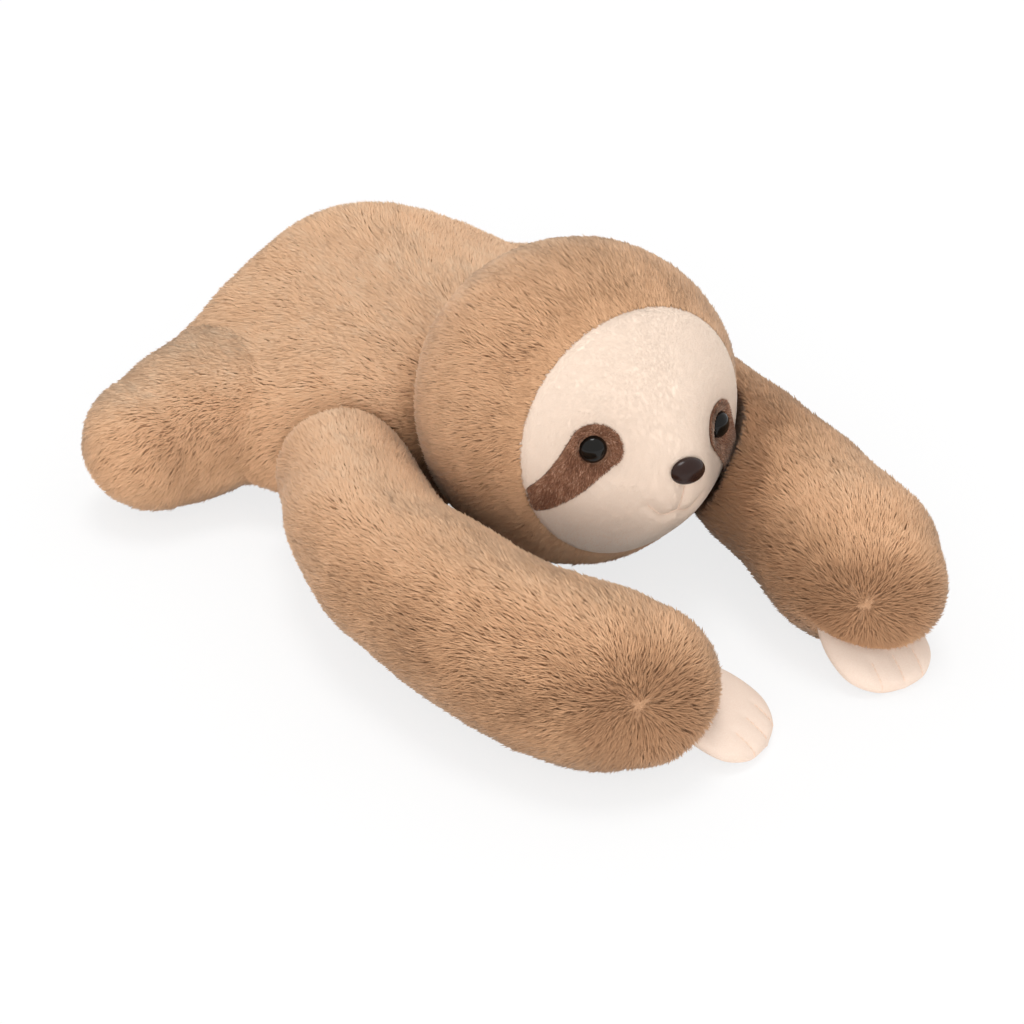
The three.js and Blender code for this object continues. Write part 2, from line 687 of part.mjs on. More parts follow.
const eyes = Object.fromEntries(Object.keys(sides).map((side) => {
  const lift = patch.thickness + 2 * fabric.fit;
  const spot = { aside: (sides[side] * eye.apart) / 2, rise: eye.rise, lift };
  return [side, faceFeature(eye, eye.radius, eye.radius, grain.eyeCount, spot)];
}));
const snoutSpot = { aside: 0, rise: nose.rise, lift: 2 * fabric.fit };
const snout = faceFeature(nose, nose.halfWidth, nose.halfHeight, grain.noseCount, snoutSpot);
const features = [...Object.values(eyes), snout];

const headHollow = headForm(headWall, grain.headInside);
const neckMouth = opening(new THREE.Vector3(), neckWay, head.opening, head.radius);
const hood = cutBy(headForm(0), [headHollow, faceOval(fabric.fit / 2), neckMouth]);
const face = cutBy(headForm(head.recess).intersect(faceOval(-fabric.fit / 2)), [
  headHollow, ...features.map((feature) => feature.shankHole)]);
const headFill = cutBy(
  headForm(headWall + fabric.fit, grain.headInside), features.map((feature) => feature.pocket));
addPart("hood_skin", hood, looks.fur, headGroup);
addPart("face_panel", face, looks.velour, headGroup);
addPart("head_stuffing", headFill, looks.stuffing, headGroup);

for (const side of Object.keys(sides)) {
  const top = head.recess - fabric.fit - patch.thickness;
  const shell = headForm(top).subtract(headForm(head.recess - fabric.fit));
  const drop = shell.intersect(faceCutter(patchOutline(side))).intersect(faceOval(-fabric.fit / 2));
  addPart(`eye_patch_${side}`, drop.subtract(eyes[side].shankHole), looks.patch, headGroup);
  addPart(`eye_${side}`, eyes[side].dome, looks.gloss, headGroup);
  addPart(`eye_washer_${side}`, eyes[side].ring, looks.washer, headGroup);
}
addPart("nose", snout.dome, looks.gloss, headGroup);
addPart("nose_washer", snout.ring, looks.washer, headGroup);

const onLip = (aside, drop) => onFace(aside, -drop, mouth.thread / 2 + fabric.fit);
const { corner, low, middle, top } = mouth;
const smileShares = [[-1, corner], [-0.45, low], [0, middle], [0.45, low], [1, corner]];
const smile = smileShares.map(([share, drop]) => onLip(share * mouth.halfWidth, drop));
const lip = [top, (top + middle) / 2, middle].map((drop) => onLip(0, drop));
const mouthThreads = [[smile, grain.smileCount], [lip, grain.lipCount]].map(([points, steps]) => threadAlong(
  new THREE.CatmullRomCurve3(points), mouth.thread, steps));
addPart("mouth_stitching", mouthThreads[0].add(mouthThreads[1]), looks.thread, headGroup);

parts.position.set(-bendAt(body.restBack), -body.restBack, 0);
export default parts;
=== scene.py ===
import math

import bpy
import numpy as np
from mathutils import Matrix, kdtree


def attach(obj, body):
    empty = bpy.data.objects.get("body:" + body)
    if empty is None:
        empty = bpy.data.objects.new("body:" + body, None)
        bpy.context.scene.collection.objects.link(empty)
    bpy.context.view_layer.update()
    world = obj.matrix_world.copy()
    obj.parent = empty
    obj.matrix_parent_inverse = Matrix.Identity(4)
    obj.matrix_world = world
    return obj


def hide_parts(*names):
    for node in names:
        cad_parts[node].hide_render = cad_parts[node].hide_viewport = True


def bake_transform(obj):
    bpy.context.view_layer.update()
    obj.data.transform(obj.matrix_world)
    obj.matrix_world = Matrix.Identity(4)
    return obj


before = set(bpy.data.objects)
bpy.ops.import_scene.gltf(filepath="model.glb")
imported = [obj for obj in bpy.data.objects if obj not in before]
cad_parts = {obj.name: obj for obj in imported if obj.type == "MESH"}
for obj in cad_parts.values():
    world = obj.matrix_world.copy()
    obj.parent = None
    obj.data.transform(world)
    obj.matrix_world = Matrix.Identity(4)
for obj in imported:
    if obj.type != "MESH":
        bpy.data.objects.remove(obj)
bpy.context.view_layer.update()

shared = {
    "neckFloor": (6.034, -125.0, 0.0),  # where places are measured from, in the frame
    "backing": 3.6,  # how far the woven backing lies inside the tips of the pile
    "pressed": 0.5,  # the same under the toy, where the pile is pressed flat
    "rub": 0.9,  # space between two skins that press together
    "fillet": 24.0,  # how far from a leg's joint line the forms swell to meet
    "mostStrands": 49000,  # in one piece
}
sides = {"right": -1, "left": 1}
chance = np.random.default_rng(7)


# Sums on many places at once
def sizeOf(ways, kept=False):
    return np.linalg.norm(ways, axis=-1, keepdims=kept)


def unit(ways):
    return ways / np.maximum(sizeOf(ways, True), 1e-9)


def spots(*parts):
    # places or ways, from their x, y and z, or only two of these
    return np.stack(np.broadcast_arrays(*parts), axis=-1)


def between(value, low, high):
    # 0 below low, 1 above high, and a smooth step between them
    share = np.clip((value - low) / (high - low), 0, 1)
    return share * share * (3 - 2 * share)


def bell(distance, reach):
    # exp(-(distance / reach)^2): 1 at the middle, and next to nothing at twice the reach
    return np.exp(-((distance / reach) ** 2))


def turns(count):
    # angles all the way round, the first not repeated
    return np.linspace(0, 2 * np.pi, count + 1)[:-1]


def fuller(wave, power):
    # the sine or cosine of a full round: sign(wave) |wave|^(2 / power)
    return np.sign(wave) * np.abs(wave) ** (2 / power)


def curveThrough(places, shares):
    # centripetal curve through the places: each stretch is a cubic whose end slopes allow for uneven spacing
    places = np.asarray(places, float)
    held = np.array([2 * places[0] - places[1], *places, 2 * places[-1] - places[-2]])
    at = np.clip(shares, 0, 1) * (len(places) - 1)
    first = np.minimum(at.astype(int), len(places) - 2)
    t = (at - first)[:, None]
    a, b, c, d = (held[first + step] for step in range(4))
    ab, bc, cd = (sizeOf(y - x, True) ** 0.5 for x, y in ((a, b), (b, c), (c, d)))
    slopeB = ((b - a) / ab - (c - a) / (ab + bc) + (c - b) / bc) * bc
    slopeC = ((c - b) / bc - (d - b) / (bc + cd) + (d - c) / cd) * bc
    square, cube = 3 * (c - b) - 2 * slopeB - slopeC, 2 * (b - c) + slopeB + slopeC
    return b + slopeB * t + square * t**2 + cube * t**3


def columns(rows, shares):
    # the other columns of a table of shares, read where the first column has these values
    first, *others = zip(*rows)
    drawn = [curveThrough(list(zip(first, other)), np.linspace(0, 1, 1500)).T for other in others]
    return [np.interp(shares, *curve) for curve in drawn]


def waves(seed, wavelength, count=14):
    # a soft random field from -1 to 1: the mean of sine waves that run every way
    draw = np.random.default_rng(seed)
    ways = unit(draw.normal(size=(count, 3))) * (2 * np.pi / wavelength) * draw.uniform(0.7, 1.4, (count, 1))
    starts = draw.uniform(0, 2 * np.pi, count)
    return lambda places: np.clip(np.sin(places @ ways.T + starts).mean(axis=1) * 3.2, -1, 1)


# Closed forms from rings of points, with a pole at either end; a form is (points, triangles)
def formOver(startPole, rings, endPole):
    rings = np.asarray(rings, float)
    count, around = rings.shape[:2]
    points = np.vstack([[startPole], rings.reshape(-1, 3), [endPole]])
    here = np.arange(around)
    after = (here + 1) % around
    last = len(points) - 1
    faces = [spots(0, 1 + after, 1 + here), spots(last, last - around + here, last - around + after)]
    for ring in range(count - 1):
        low = 1 + ring * around
        high = low + around
        faces += [spots(low + here, low + after, high + here), spots(low + after, high + after, high + here)]
    faces = np.vstack(faces)
    # facing out: the triangles' volume is then above zero
    a, b, c = (points[faces[:, corner]] for corner in range(3))
    volume = np.einsum("ij,ij->i", a, np.cross(b, c)).sum()
    return points, faces if volume > 0 else faces[:, ::-1].copy()


def normalsOf(form):
    points, faces = form
    a, b, c = (points[faces[:, corner]] for corner in range(3))
    flat = np.cross(b - a, c - a)
    total = np.zeros_like(points)
    for corner in range(3):
        for axis in range(3):
            total[:, axis] += np.bincount(faces[:, corner], flat[:, axis], len(points))
    return unit(total)


def joined(forms):
    points, faces, start = [], [], 0
    for some, theirs in forms:
        points.append(some)
        faces.append(theirs + start)
        start += len(some)
    return np.vstack(points), np.vstack(faces)


def linked(name, data):
    made = bpy.data.objects.new(name, data)
    bpy.context.scene.collection.objects.link(made)
    return made


def objectOf(name, form, material=None, uv=None, soft=None):
    # soft holds a shading normal for each point, so that hair takes light as the skin under it does
    points, faces = form
    mesh = bpy.data.meshes.new(name)
    mesh.vertices.add(len(points))
    mesh.vertices.foreach_set("co", ((points + shared["neckFloor"]) * 0.001).astype(np.float32).ravel())
    mesh.loops.add(faces.size)
    mesh.loops.foreach_set("vertex_index", faces.astype(np.int32).ravel())
    mesh.polygons.add(len(faces))
    mesh.polygons.foreach_set("loop_start", np.arange(0, faces.size, 3, dtype=np.int32))
    mesh.polygons.foreach_set("use_smooth", np.ones(len(faces), bool))
    if uv is not None:
        layer = mesh.uv_layers.new(name="OFBake")
        layer.data.foreach_set("uv", uv[faces.ravel()].astype(np.float32).ravel())
    mesh.update(calc_edges=True)
    if soft is not None:
        mesh.attributes.new("custom_normal", "FLOAT_VECTOR", "POINT").data.foreach_set(
            "vector", soft.astype(np.float32).ravel())
    if material is not None:
        mesh.materials.append(material)
    return linked(name, mesh)


def largestOf(form):
    # the largest connected part: each point takes the lowest number among its neighbours until none changes
    points, faces = form
    label = np.arange(len(points))
    while True:
        lowest = label.copy()
        least = label[faces].min(axis=1)
        for corner in range(3):
            np.minimum.at(lowest, faces[:, corner], least)
        lowest = lowest[lowest]
        if (lowest == label).all():
            break
        label = lowest
    kinds, counts = np.unique(label[faces[:, 0]], return_counts=True)
    kept = faces[label[faces[:, 0]] == kinds[counts.argmax()]]
    used, renumbered = np.unique(kept, return_inverse=True)
    return points[used], renumbered.reshape(-1, 3)


def cutAway(form, cutters):
    base = objectOf("uncut", form)
    tools = [objectOf("cutter", cutter) for cutter in cutters]
    for tool in tools:
        cut = base.modifiers.new("cut", "BOOLEAN")
        cut.operation, cut.solver, cut.object = "DIFFERENCE", "MANIFOLD", tool
    mesh = base.evaluated_get(bpy.context.evaluated_depsgraph_get()).to_mesh()
    mesh.calc_loop_triangles()
    points = np.empty(len(mesh.vertices) * 3, np.float32)
    mesh.vertices.foreach_get("co", points)
    faces = np.empty(len(mesh.loop_triangles) * 3, np.int32)
    mesh.loop_triangles.foreach_get("vertices", faces)
    for extra in [base, *tools]:
        bpy.data.objects.remove(extra)
    left = points.reshape(-1, 3).astype(float) * 1000 - shared["neckFloor"]
    return largestOf((left, faces.reshape(-1, 3).astype(int)))


# Shader sums: a signal is a socket that sums can be written with
class Signal:
    def __init__(self, nodes, socket):
        self.nodes, self.socket = nodes, socket

    def __add__(self, other):
        return self.nodes.node("ShaderNodeMath", {"operation": "ADD"}, [self, other])

    def __mul__(self, other):
        return self.nodes.node("ShaderNodeMath", {"operation": "MULTIPLY"}, [self, other])

    __radd__ = __add__
    __rmul__ = __mul__


class Nodes:
    # the nodes of a material or of the world
    def __init__(self, owner):
        owner.use_nodes = True
        self.tree = owner.node_tree

    def put(self, value, socket):
        if isinstance(value, Signal):
            self.tree.links.new(value.socket, socket)
        else:
            socket.default_value = value

    def node(self, kind, settings, inputs, output=0):
        made = self.tree.nodes.new(kind)
        for setting, value in settings.items():
            setattr(made, setting, value)
        pairs = inputs.items() if isinstance(inputs, dict) else enumerate(inputs)
        for socket, value in pairs:
            self.put(value, made.inputs[socket])
        return Signal(self, made.outputs[output])


class Finish(Nodes):
    # a material round one Principled shader
    def __init__(self, name, settings):
        self.material = bpy.data.materials.new(name)
        super().__init__(self.material)
        self.shader = self.tree.nodes["Principled BSDF"]
        for socket, value in settings.items():
            self.set(socket, value)

    def set(self, socket, value):
        self.put(value, self.shader.inputs[socket])

    def place(self):
        return self.node("ShaderNodeTexCoord", {}, {}, "Object")

    def noise(self, scale):
        return self.node("ShaderNodeTexNoise", {}, {"Vector": self.place(), "Scale": scale, "Detail": 3.0})

    def ramp(self, value, stops):
        made = self.node("ShaderNodeValToRGB", {}, [value])
        elements = made.socket.node.color_ramp.elements
        while len(elements) < len(stops):
            elements.new(0.5)
        for element, (at, color) in zip(elements, stops):
            element.position, element.color = at, (*color, 1)
        return made

    def bump(self, height, distance):
        return self.node("ShaderNodeBump", {}, {"Height": height, "Distance": distance, "Strength": 1.0})


# Materials. A pile's colours go from the depths of the fur to its palest tips
pileColors = {
    "long": [
        (0.0, (0.38, 0.195, 0.1)),
        (0.25, (0.65, 0.37, 0.205)),
        (0.5, (0.86, 0.52, 0.305)),
        (0.75, (0.945, 0.61, 0.38)),
        (1.0, (0.975, 0.72, 0.505)),
    ],
    "cream": [(0.0, (0.93, 0.67, 0.51)), (0.5, (0.97, 0.79, 0.65)), (1.0, (0.985, 0.86, 0.75))],
    "brown": [(0.0, (0.12, 0.045, 0.025)), (0.5, (0.38, 0.18, 0.105)), (1.0, (0.74, 0.44, 0.3))],
}


def strandFinish(name, stops):
    # across the map: how pale the strand is; up the map: from its root to its tip
    finish = Finish(name, {
        "Roughness": 0.85, "Specular IOR Level": 0.15, "Sheen Weight": 0.3, "Sheen Roughness": 0.45,
        "Sheen Tint": (1.0, 0.86, 0.72, 1)})
    chart = finish.node("ShaderNodeUVMap", {"uv_map": "OFBake"}, {})
    pale, along = (finish.node("ShaderNodeSeparateXYZ", {}, [chart], axis) for axis in "XY")
    finish.set("Base Color", finish.ramp(pale * 0.84 + along * 0.14, stops))
    return finish.material


def clothFinish(name, dark, pale, scale, roughness=0.9, bumpDepth=0.0004):
    finish = Finish(name, {"Roughness": roughness, "Specular IOR Level": 0.2})
    fine = finish.noise(scale)
    finish.set("Base Color", finish.ramp(fine, [(0.3, dark), (0.7, pale)]))
    finish.set("Normal", finish.bump(finish.noise(scale * 2), bumpDepth))
    return finish.material


finishes = {name: strandFinish(f"{name} pile", stops) for name, stops in pileColors.items()}
finishes |= {
    "backing": clothFinish("pile backing", (0.5, 0.28, 0.155), (0.62, 0.36, 0.21), 900),
    "face": clothFinish("face cloth", (0.955, 0.765, 0.62), (0.96, 0.775, 0.635), 1500, 0.9, 0.00005),
    "patch": clothFinish("patch cloth", (0.18, 0.085, 0.05), (0.34, 0.185, 0.115), 1200),
    "velour": clothFinish("velour", (0.85, 0.665, 0.545), (0.89, 0.73, 0.615), 2200, 0.8, 0.00015),
    "palest thread": clothFinish("palest thread", (0.86, 0.62, 0.48), (0.93, 0.72, 0.58), 3000, 0.6, 0.0001),
}


def beadFinish(name, color, roughness):
    finish = Finish(name, {"Base Color": (*color, 1), "Specular IOR Level": 0.3})
    finish.set("Roughness", finish.noise(400) * 0.04 + roughness)
    return finish.material


finishes["eye"] = beadFinish("black bead", (0.006, 0.005, 0.004), 0.1)
finishes["nose"] = beadFinish("brown bead", (0.026, 0.011, 0.008), 0.22)
print("materials made")


def addPiece(name, form, finish, ride, stands=(), uv=None, soft=None):
    # ride is the name of a body; the words of a blend across a joint are not used, and such a piece keeps its
    # place
    made = objectOf(name, form, finishes[finish], uv, soft)
    if isinstance(ride, str):
        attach(made, ride)
    else:
        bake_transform(made)
    if stands:
        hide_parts(*stands)


# Fur: each strand is a slim closed kite, pointed at root and tip and bent down along the skin
strand = {
    "kneeAlong": 0.42, "kneeUp": 0.66,  # shares of its way and of its rise at its widest place
    "rooted": 0.4,  # how deep its root sits in the backing
    "lowest": 0.15,  # how near the floor it may come
}


def furOn(name, form, ride, fur, comb, tone, weight, growth=None):
    # growth gives shares of the length and of the rise at each place
    points, faces = form
    normals = normalsOf(form)
    corners = points[faces]
    area = sizeOf(np.cross(corners[:, 1] - corners[:, 0], corners[:, 2] - corners[:, 0])) / 2
    middles, outward = corners.mean(axis=1), unit(normals[faces].mean(axis=1))
    running = np.cumsum(area * weight(middles, outward))
    count = int(min(fur["perArea"] * running[-1], fur.get("most", 1e9)))
    picked = np.searchsorted(running, chance.uniform(0, running[-1], count))
    share = chance.dirichlet((1, 1, 1), count)[:, :, None]
    roots = (corners[picked] * share).sum(axis=1)
    normal = unit((normals[faces[picked]] * share).sum(axis=1))
    lay = comb(roots, normal)
    lay = unit(lay - normal * (lay * normal).sum(axis=1, keepdims=True))
    aside = np.cross(normal, lay)
    # the way each strand lies: the comb, turned by a soft field for locks and by chance
    turn = fur["lockTurn"] * waves(3, fur["lock"])(roots) + fur["turn"] * chance.normal(size=count)
    c, s = np.cos(turn)[:, None], np.sin(turn)[:, None]
    lay, aside = lay * c + aside * s, aside * c - lay * s
    lifted = 1 + fur["lockLift"] * waves(5, fur["lock"])(roots)
    lifted = lifted + fur["liftChance"] * chance.normal(size=count)
    length = fur["length"] * (1 + fur["lengthChance"] * chance.normal(size=count)).clip(0.6, 1.3)
    longer, higher = (1, 1) if growth is None else growth(roots)
    length = (length * longer)[:, None]
    rise = (fur["rise"] * lifted * higher).clip(0.05, 1.2)[:, None]
    # rise is the share of its length that a strand stands off the skin by; most of it comes in the lower half
    along = np.sqrt(np.maximum(1 - rise**2, 0.1))
    knee = roots + length * (strand["kneeAlong"] * along * lay + strand["kneeUp"] * rise * normal)
    tip = roots + length * (along * lay + rise * normal)
    roots = roots - normal * strand["rooted"]
    half = (fur["width"] / 2) * chance.uniform(0.75, 1.2, (count, 1))
    places = np.stack([roots, knee - aside * half, knee + aside * half, tip], axis=1)
    places[:, :, 2] = np.maximum(places[:, :, 2], strand["lowest"])
    pale = np.clip(tone(roots, normal) + fur["toneChance"] * chance.normal(size=count), 0.01, 0.99)
    chart = spots(pale[:, None] + [0, -0.004, 0.004, 0], [0.01, 0.45, 0.45, 0.99])
    pattern = np.array([[0, 1, 2], [1, 3, 2], [1, 0, 3], [0, 2, 3]])
    lit = unit(normal + fur["glow"] * (chance.normal(size=(count, 3)) + 0.5 * lay))
    lit = np.repeat(lit[:, None], 4, axis=1)
    pieces = max(1, math.ceil(count / shared["mostStrands"]))
    for piece in range(pieces):
        some = places[piece::pieces]
        faces = (pattern[None] + 4 * np.arange(len(some))[:, None, None]).reshape(-1, 3)
        label = name if pieces == 1 else f"{name}_{piece + 1}"
        addPiece(
            label, (some.reshape(-1, 3), faces), fur["finish"], ride,
            uv=chart[piece::pieces].reshape(-1, 2), soft=lit[piece::pieces].reshape(-1, 3))
    print(f"{name}: {count} strands on {round(area.sum())} square millimetres")


longFur = {
    "finish": "long", "perArea": 1.68, "length": 6.2, "width": 0.42, "rise": 0.5,
    "lock": 22.0, "lockTurn": 0.25, "lockLift": 0.08,  # soft fields that gather the strands in locks
    # how far strands differ by chance
    "turn": 0.22, "liftChance": 0.07, "lengthChance": 0.08, "toneChance": 0.05,
    "glow": 0.1,  # how far a strand's shading leaves that of the skin under it
}
mottle, patchy = waves(11, 9), waves(12, 34)

# Head
head = {
    "radius": 74.0, "middle": (6.5, 0.0, 74.5), "tilt": math.radians(7), "recess": 2.8, "panel": 2.6,
    "muzzleOut": 10.5, "muzzlePower": 14, "faceHalfWidth": 58.0, "faceHalfHeight": 56.0, "faceRise": 4.0,
    "socket": 7.0, "socketReach": 17.0,  # how deep the face is drawn in at each eye, and how far round it
    "tuck": 6.6,  # how deep the hood's cloth goes behind the face
    "rollFrom": 2.6, "rollWidth": 3.4,  # where the hood's edge rolls in, measured back from the face
    "panelEdge": 1.4,  # how far the face panel's edge turns in
}
eye = {"radius": 6.0, "dome": 4.6, "aside": 33.0, "rise": 8.5, "shank": 2.0, "shankLength": 15.0}
muzzleWay = unit(np.array([0.0, -74.0, -8.0]))
eyeAhead = math.sqrt(head["radius"] ** 2 - eye["aside"] ** 2 - eye["rise"] ** 2)
eyeWays = [unit(np.array([aside * eye["aside"], -eyeAhead, eye["rise"]])) for aside in sides.values()]
headPlace = np.array(head["middle"])


# the head's own frame leans over to its left
cosTilt, sinTilt = math.cos(head["tilt"]), math.sin(head["tilt"])
lean = np.array([[cosTilt, 0, sinTilt], [0, 1, 0], [-sinTilt, 0, cosTilt]])


def fromHead(places):
    return places @ lean.T + headPlace


def toHead(places):
    return (places - headPlace) @ lean


def headReach(ways, inset):
    # a ball with a muzzle that stands out, and a dip about each eye
    near = sum(bell(sizeOf(ways - way) * head["radius"], head["socketReach"]) for way in eyeWays)
    out = head["muzzleOut"] * np.maximum(ways @ muzzleWay, 0) ** head["muzzlePower"]
    return head["radius"] - inset + out - head["socket"] * near


def onFace(aside, rise, inset):
    # the place on the front of the head that is this far aside and up, found by steps
    ahead = np.sqrt(np.maximum(head["radius"] ** 2 - aside**2 - rise**2, 1))
    for _ in range(12):
        reach = headReach(unit(spots(aside, -ahead, rise)), inset)
        ahead = np.sqrt(np.maximum(reach**2 - aside**2 - rise**2, 1))
    return spots(aside, -ahead, rise)


def faceWay(aside, rise):
    across = onFace(aside + 0.3, rise, head["recess"]) - onFace(aside - 0.3, rise, head["recess"])
    upward = onFace(aside, rise + 0.3, head["recess"]) - onFace(aside, rise - 0.3, head["recess"])
    return unit(np.cross(across, upward))


def ovalSpot(share, angle):
    wide, high = head["faceHalfWidth"], head["faceHalfHeight"]
    return wide * share * np.cos(angle), head["faceRise"] + high * share * np.sin(angle)


def ovalOut(aside, rise):
    return np.hypot(aside / head["faceHalfWidth"], (rise - head["faceRise"]) / head["faceHalfHeight"])


def ovalShare(places):
    # 1 on the edge of the face, less inside it, in the head's own frame; over 2 behind the head
    out = ovalOut(places[:, 0], places[:, 2])
    return np.where(places[:, 1] < 0, out, 3.0)


def onHead(startPole, rings, endPole):
    points, faces = formOver(startPole, rings, endPole)
    return fromHead(points), faces


def hoodForm(inset):
    angle = turns(256)
    edge = unit(onFace(*ovalSpot(1, angle), 0))
    back = np.array([0.0, 1.0, 0.0])
    turn = np.arccos(np.clip(edge @ back, -1, 1))[:, None]
    rings = []
    for share in (*np.linspace(0.1, 0.9, 9), 0.93, 0.95, 0.96, 0.97, 0.98, 0.99):
        rings.append(onFace(*ovalSpot(share, angle), head["tuck"]))
    gone = 0.0
    while gone < 0.985:
        beyond = gone * turn * head["radius"]
        # the edge of the hood rolls in towards the face over a quarter round
        roll = np.clip((head["rollFrom"] - beyond) / head["rollWidth"], 0, 1)
        deep = inset + (head["tuck"] - inset) * (1 - np.sqrt(1 - roll**2))
        way = (np.sin((1 - gone) * turn) * edge + np.sin(gone * turn) * back) / np.sin(turn)
        rings.append(way * (headReach(way, 0) - deep[:, 0])[:, None])
        # rings lie closest where the edge rolls
        gone += 0.0035 if gone < 0.024 else min(0.0035 + (gone - 0.024) * 0.25, 0.018)
    return onHead(onFace(0, head["faceRise"], head["tuck"]), rings, back * (head["radius"] - inset))


# Body
body = {
    "front": 30.0, "rear": 212.0, "halfWidth": 112.0, "height": 107.0, "bend": 16.0, "flat": 0.5,
    "widest": 0.36, "topPower": 1.64, "bottomPower": 2.7,
    "shares": [  # along the body, then shares of its half width, of the height of its top and of its underside
        (0, 0, 0.45, 0.45), (0.03, 0.4, 0.62, 0.28), (0.1, 0.6, 0.74, 0.1), (0.24, 0.82, 0.83, 0),
        (0.44, 0.96, 0.9, 0), (0.64, 1, 0.955, 0), (0.82, 0.9, 1.045, 0), (0.93, 0.66, 0.92, 0.05),
        (0.985, 0.34, 0.66, 0.2), (1, 0, 0.42, 0.42),
    ],
}


def bendAt(back):
    share = np.maximum(0, (back - body["front"]) / (body["rear"] - body["front"]))
    return -body["bend"] * share**1.5


def bodyMeasures(share, inset, under):
    half, top, bottom = columns(body["shares"], share)
    half = np.maximum(body["halfWidth"] * half - inset, 0.5)
    top, bottom = body["height"] * top - inset, body["height"] * bottom - body["flat"] + under
    return half, top, bottom, bottom + (top - bottom) * body["widest"]


def bodyForm(inset, under, stations=110, around=170):
    front, rear = body["front"] + inset, body["rear"] - inset
    share = (1 - np.cos(np.pi * np.arange(1, stations) / stations)) / 2
    angle = turns(around)
    half, top, bottom, widest = (value[:, None] for value in bodyMeasures(share, inset, under))
    upper = np.sin(angle) > 0
    power = np.where(upper, body["topPower"], body["bottomPower"])
    across, rise = fuller(np.cos(angle), power), np.abs(fuller(np.sin(angle), power))
    back = (front + (rear - front) * share)[:, None]
    height = np.where(upper, widest + (top - widest) * rise, widest - (widest - bottom) * rise)
    rings = spots(bendAt(back) + half * across, back, height)
    ends = []
    for share, back in ((0.0, front), (1.0, rear)):
        widest = bodyMeasures(np.array([share]), inset, under)[3][0]
        ends.append((float(bendAt(back)), back, widest))
    return formOver(ends[0], rings, ends[1])


def bodyDepth(places):
    # roughly how far a place lies inside the body, negative outside
    share = (places[:, 1] - body["front"]) / (body["rear"] - body["front"])
    half, top, bottom, widest = bodyMeasures(np.clip(share, 0, 1), 0, 0)
    upper = places[:, 2] > widest
    power = np.where(upper, body["topPower"], body["bottomPower"])
    room = np.where(upper, top - widest, widest - bottom)
    out = (np.abs(places[:, 0] - bendAt(places[:, 1])) / half) ** power
    out = (out + (np.abs(places[:, 2] - widest) / np.maximum(room, 1)) ** power) ** (1 / power)
    depth = (1 - out) * np.minimum(half, room)
    return np.where((share < 0) | (share > 1), -50.0, depth)


# Limbs: round sections across a curve, with a ball at the root and a round end
def limbForm(line, radius, around=100, capRings=18):
    ways = unit(np.gradient(line, axis=0))
    rings = []
    angle = turns(around)[:, None]

    def ringAt(middle, way, size):
        side = unit(np.cross(way, (0, 0, 1)))
        over = np.cross(side, way)
        rings.append(middle + size * (np.cos(angle) * side + np.sin(angle) * over))

    for turn in np.linspace(0, np.pi / 2, capRings + 1)[1:-1]:
        ringAt(line[0] - ways[0] * radius[0] * math.cos(turn), ways[0], radius[0] * math.sin(turn))
    for middle, way, size in zip(line, ways, radius):
        ringAt(middle, way, size)
    for turn in np.linspace(np.pi / 2, 0, capRings + 1)[1:-1]:
        ringAt(line[-1] + ways[-1] * radius[-1] * math.cos(turn), ways[-1], radius[-1] * math.sin(turn))
    return formOver(line[0] - ways[0] * radius[0], rings, line[-1] + ways[-1] * radius[-1])


arm = {
    "radius": 41.0, "root": 32.0, "length": 202.0, "halfSpan": 89.0, "aside": 2.8, "back": 52.0,
    "height": 38.0, "drop": math.radians(30), "spread": math.radians(60),
    "thickness": [(0, 0.83), (0.25, 0.85), (0.6, 0.9), (0.82, 0.92), (1, 0.83)],
    "path": {  # shares of the shoulder's place aside, of the length and of the radius
        "right": [(1.2, 0.317, 0.95), (1.14, 0.629, 0.93), (0.92, 0.87, 0.84), (0.72, 0.95, 0.76)],
        "left": [(0.9, 0.322, 0.93), (0.795, 0.589, 0.96), (0.735, 0.82, 0.88), (0.7, 0.93, 0.76)],
    },
    # shares of drop and spread at which the arm stays clear of the head
    "moves": [(0, 0), (0.3, 0), (0.5, 0), (0.8, 0), (1, 0), (0, 0.33)],
    "whorl": {"right": (-78.0, -165.0, 42.5), "left": (44.5, -155.3, 39.0)},
    "headShadow": {"right": 0.0, "left": 0.4},  # how much painted shadow from the head darkens the upper part
}
leg = {
    "root": 37.0, "foot": 33.5, "swell": 3.5, "hipOut": 84.0, "hipBack": 150.0, "hipHeight": 36.0,
    "footOut": 133.0, "footBack": 140.0, "footHeight": 33.0,
}


def shoulderAt(side):
    return np.array([sides[side] * arm["halfSpan"] + arm["aside"], arm["back"], arm["height"]])


def turned(places, about, axis, angle):
    matrix = np.array(Matrix.Rotation(angle, 3, axis))
    return (places - about) @ matrix.T + about


def armLine(side, drop=0.0, steps=90):
    shoulder = shoulderAt(side)
    places = np.array([
        (shoulder[0] * out, shoulder[1] - arm["length"] * ahead, arm["radius"] * rise)
        for out, ahead, rise in arm["path"][side]
    ])
    share = np.linspace(0, 1, steps)
    line = curveThrough([shoulder, *turned(places, shoulder, "X", drop)], share)
    full = arm["radius"] * columns(arm["thickness"], share)[0]
    return line, full + (arm["root"] - full) * np.maximum(0, 1 - share * 4) ** 2


def legLine(side, steps=30):
    middle = float(bendAt(leg["hipBack"]))
    hip = np.array([sides[side] * leg["hipOut"] + middle, leg["hipBack"], leg["hipHeight"]])
    foot = np.array([sides[side] * leg["footOut"] + middle, leg["footBack"], leg["footHeight"]])
    share = np.linspace(0, 1, steps)[:, None]
    line = hip + (foot - hip) * share
    share = share[:, 0]
    return line, leg["root"] + (leg["foot"] - leg["root"]) * share + leg["swell"] * np.sin(np.pi * share)


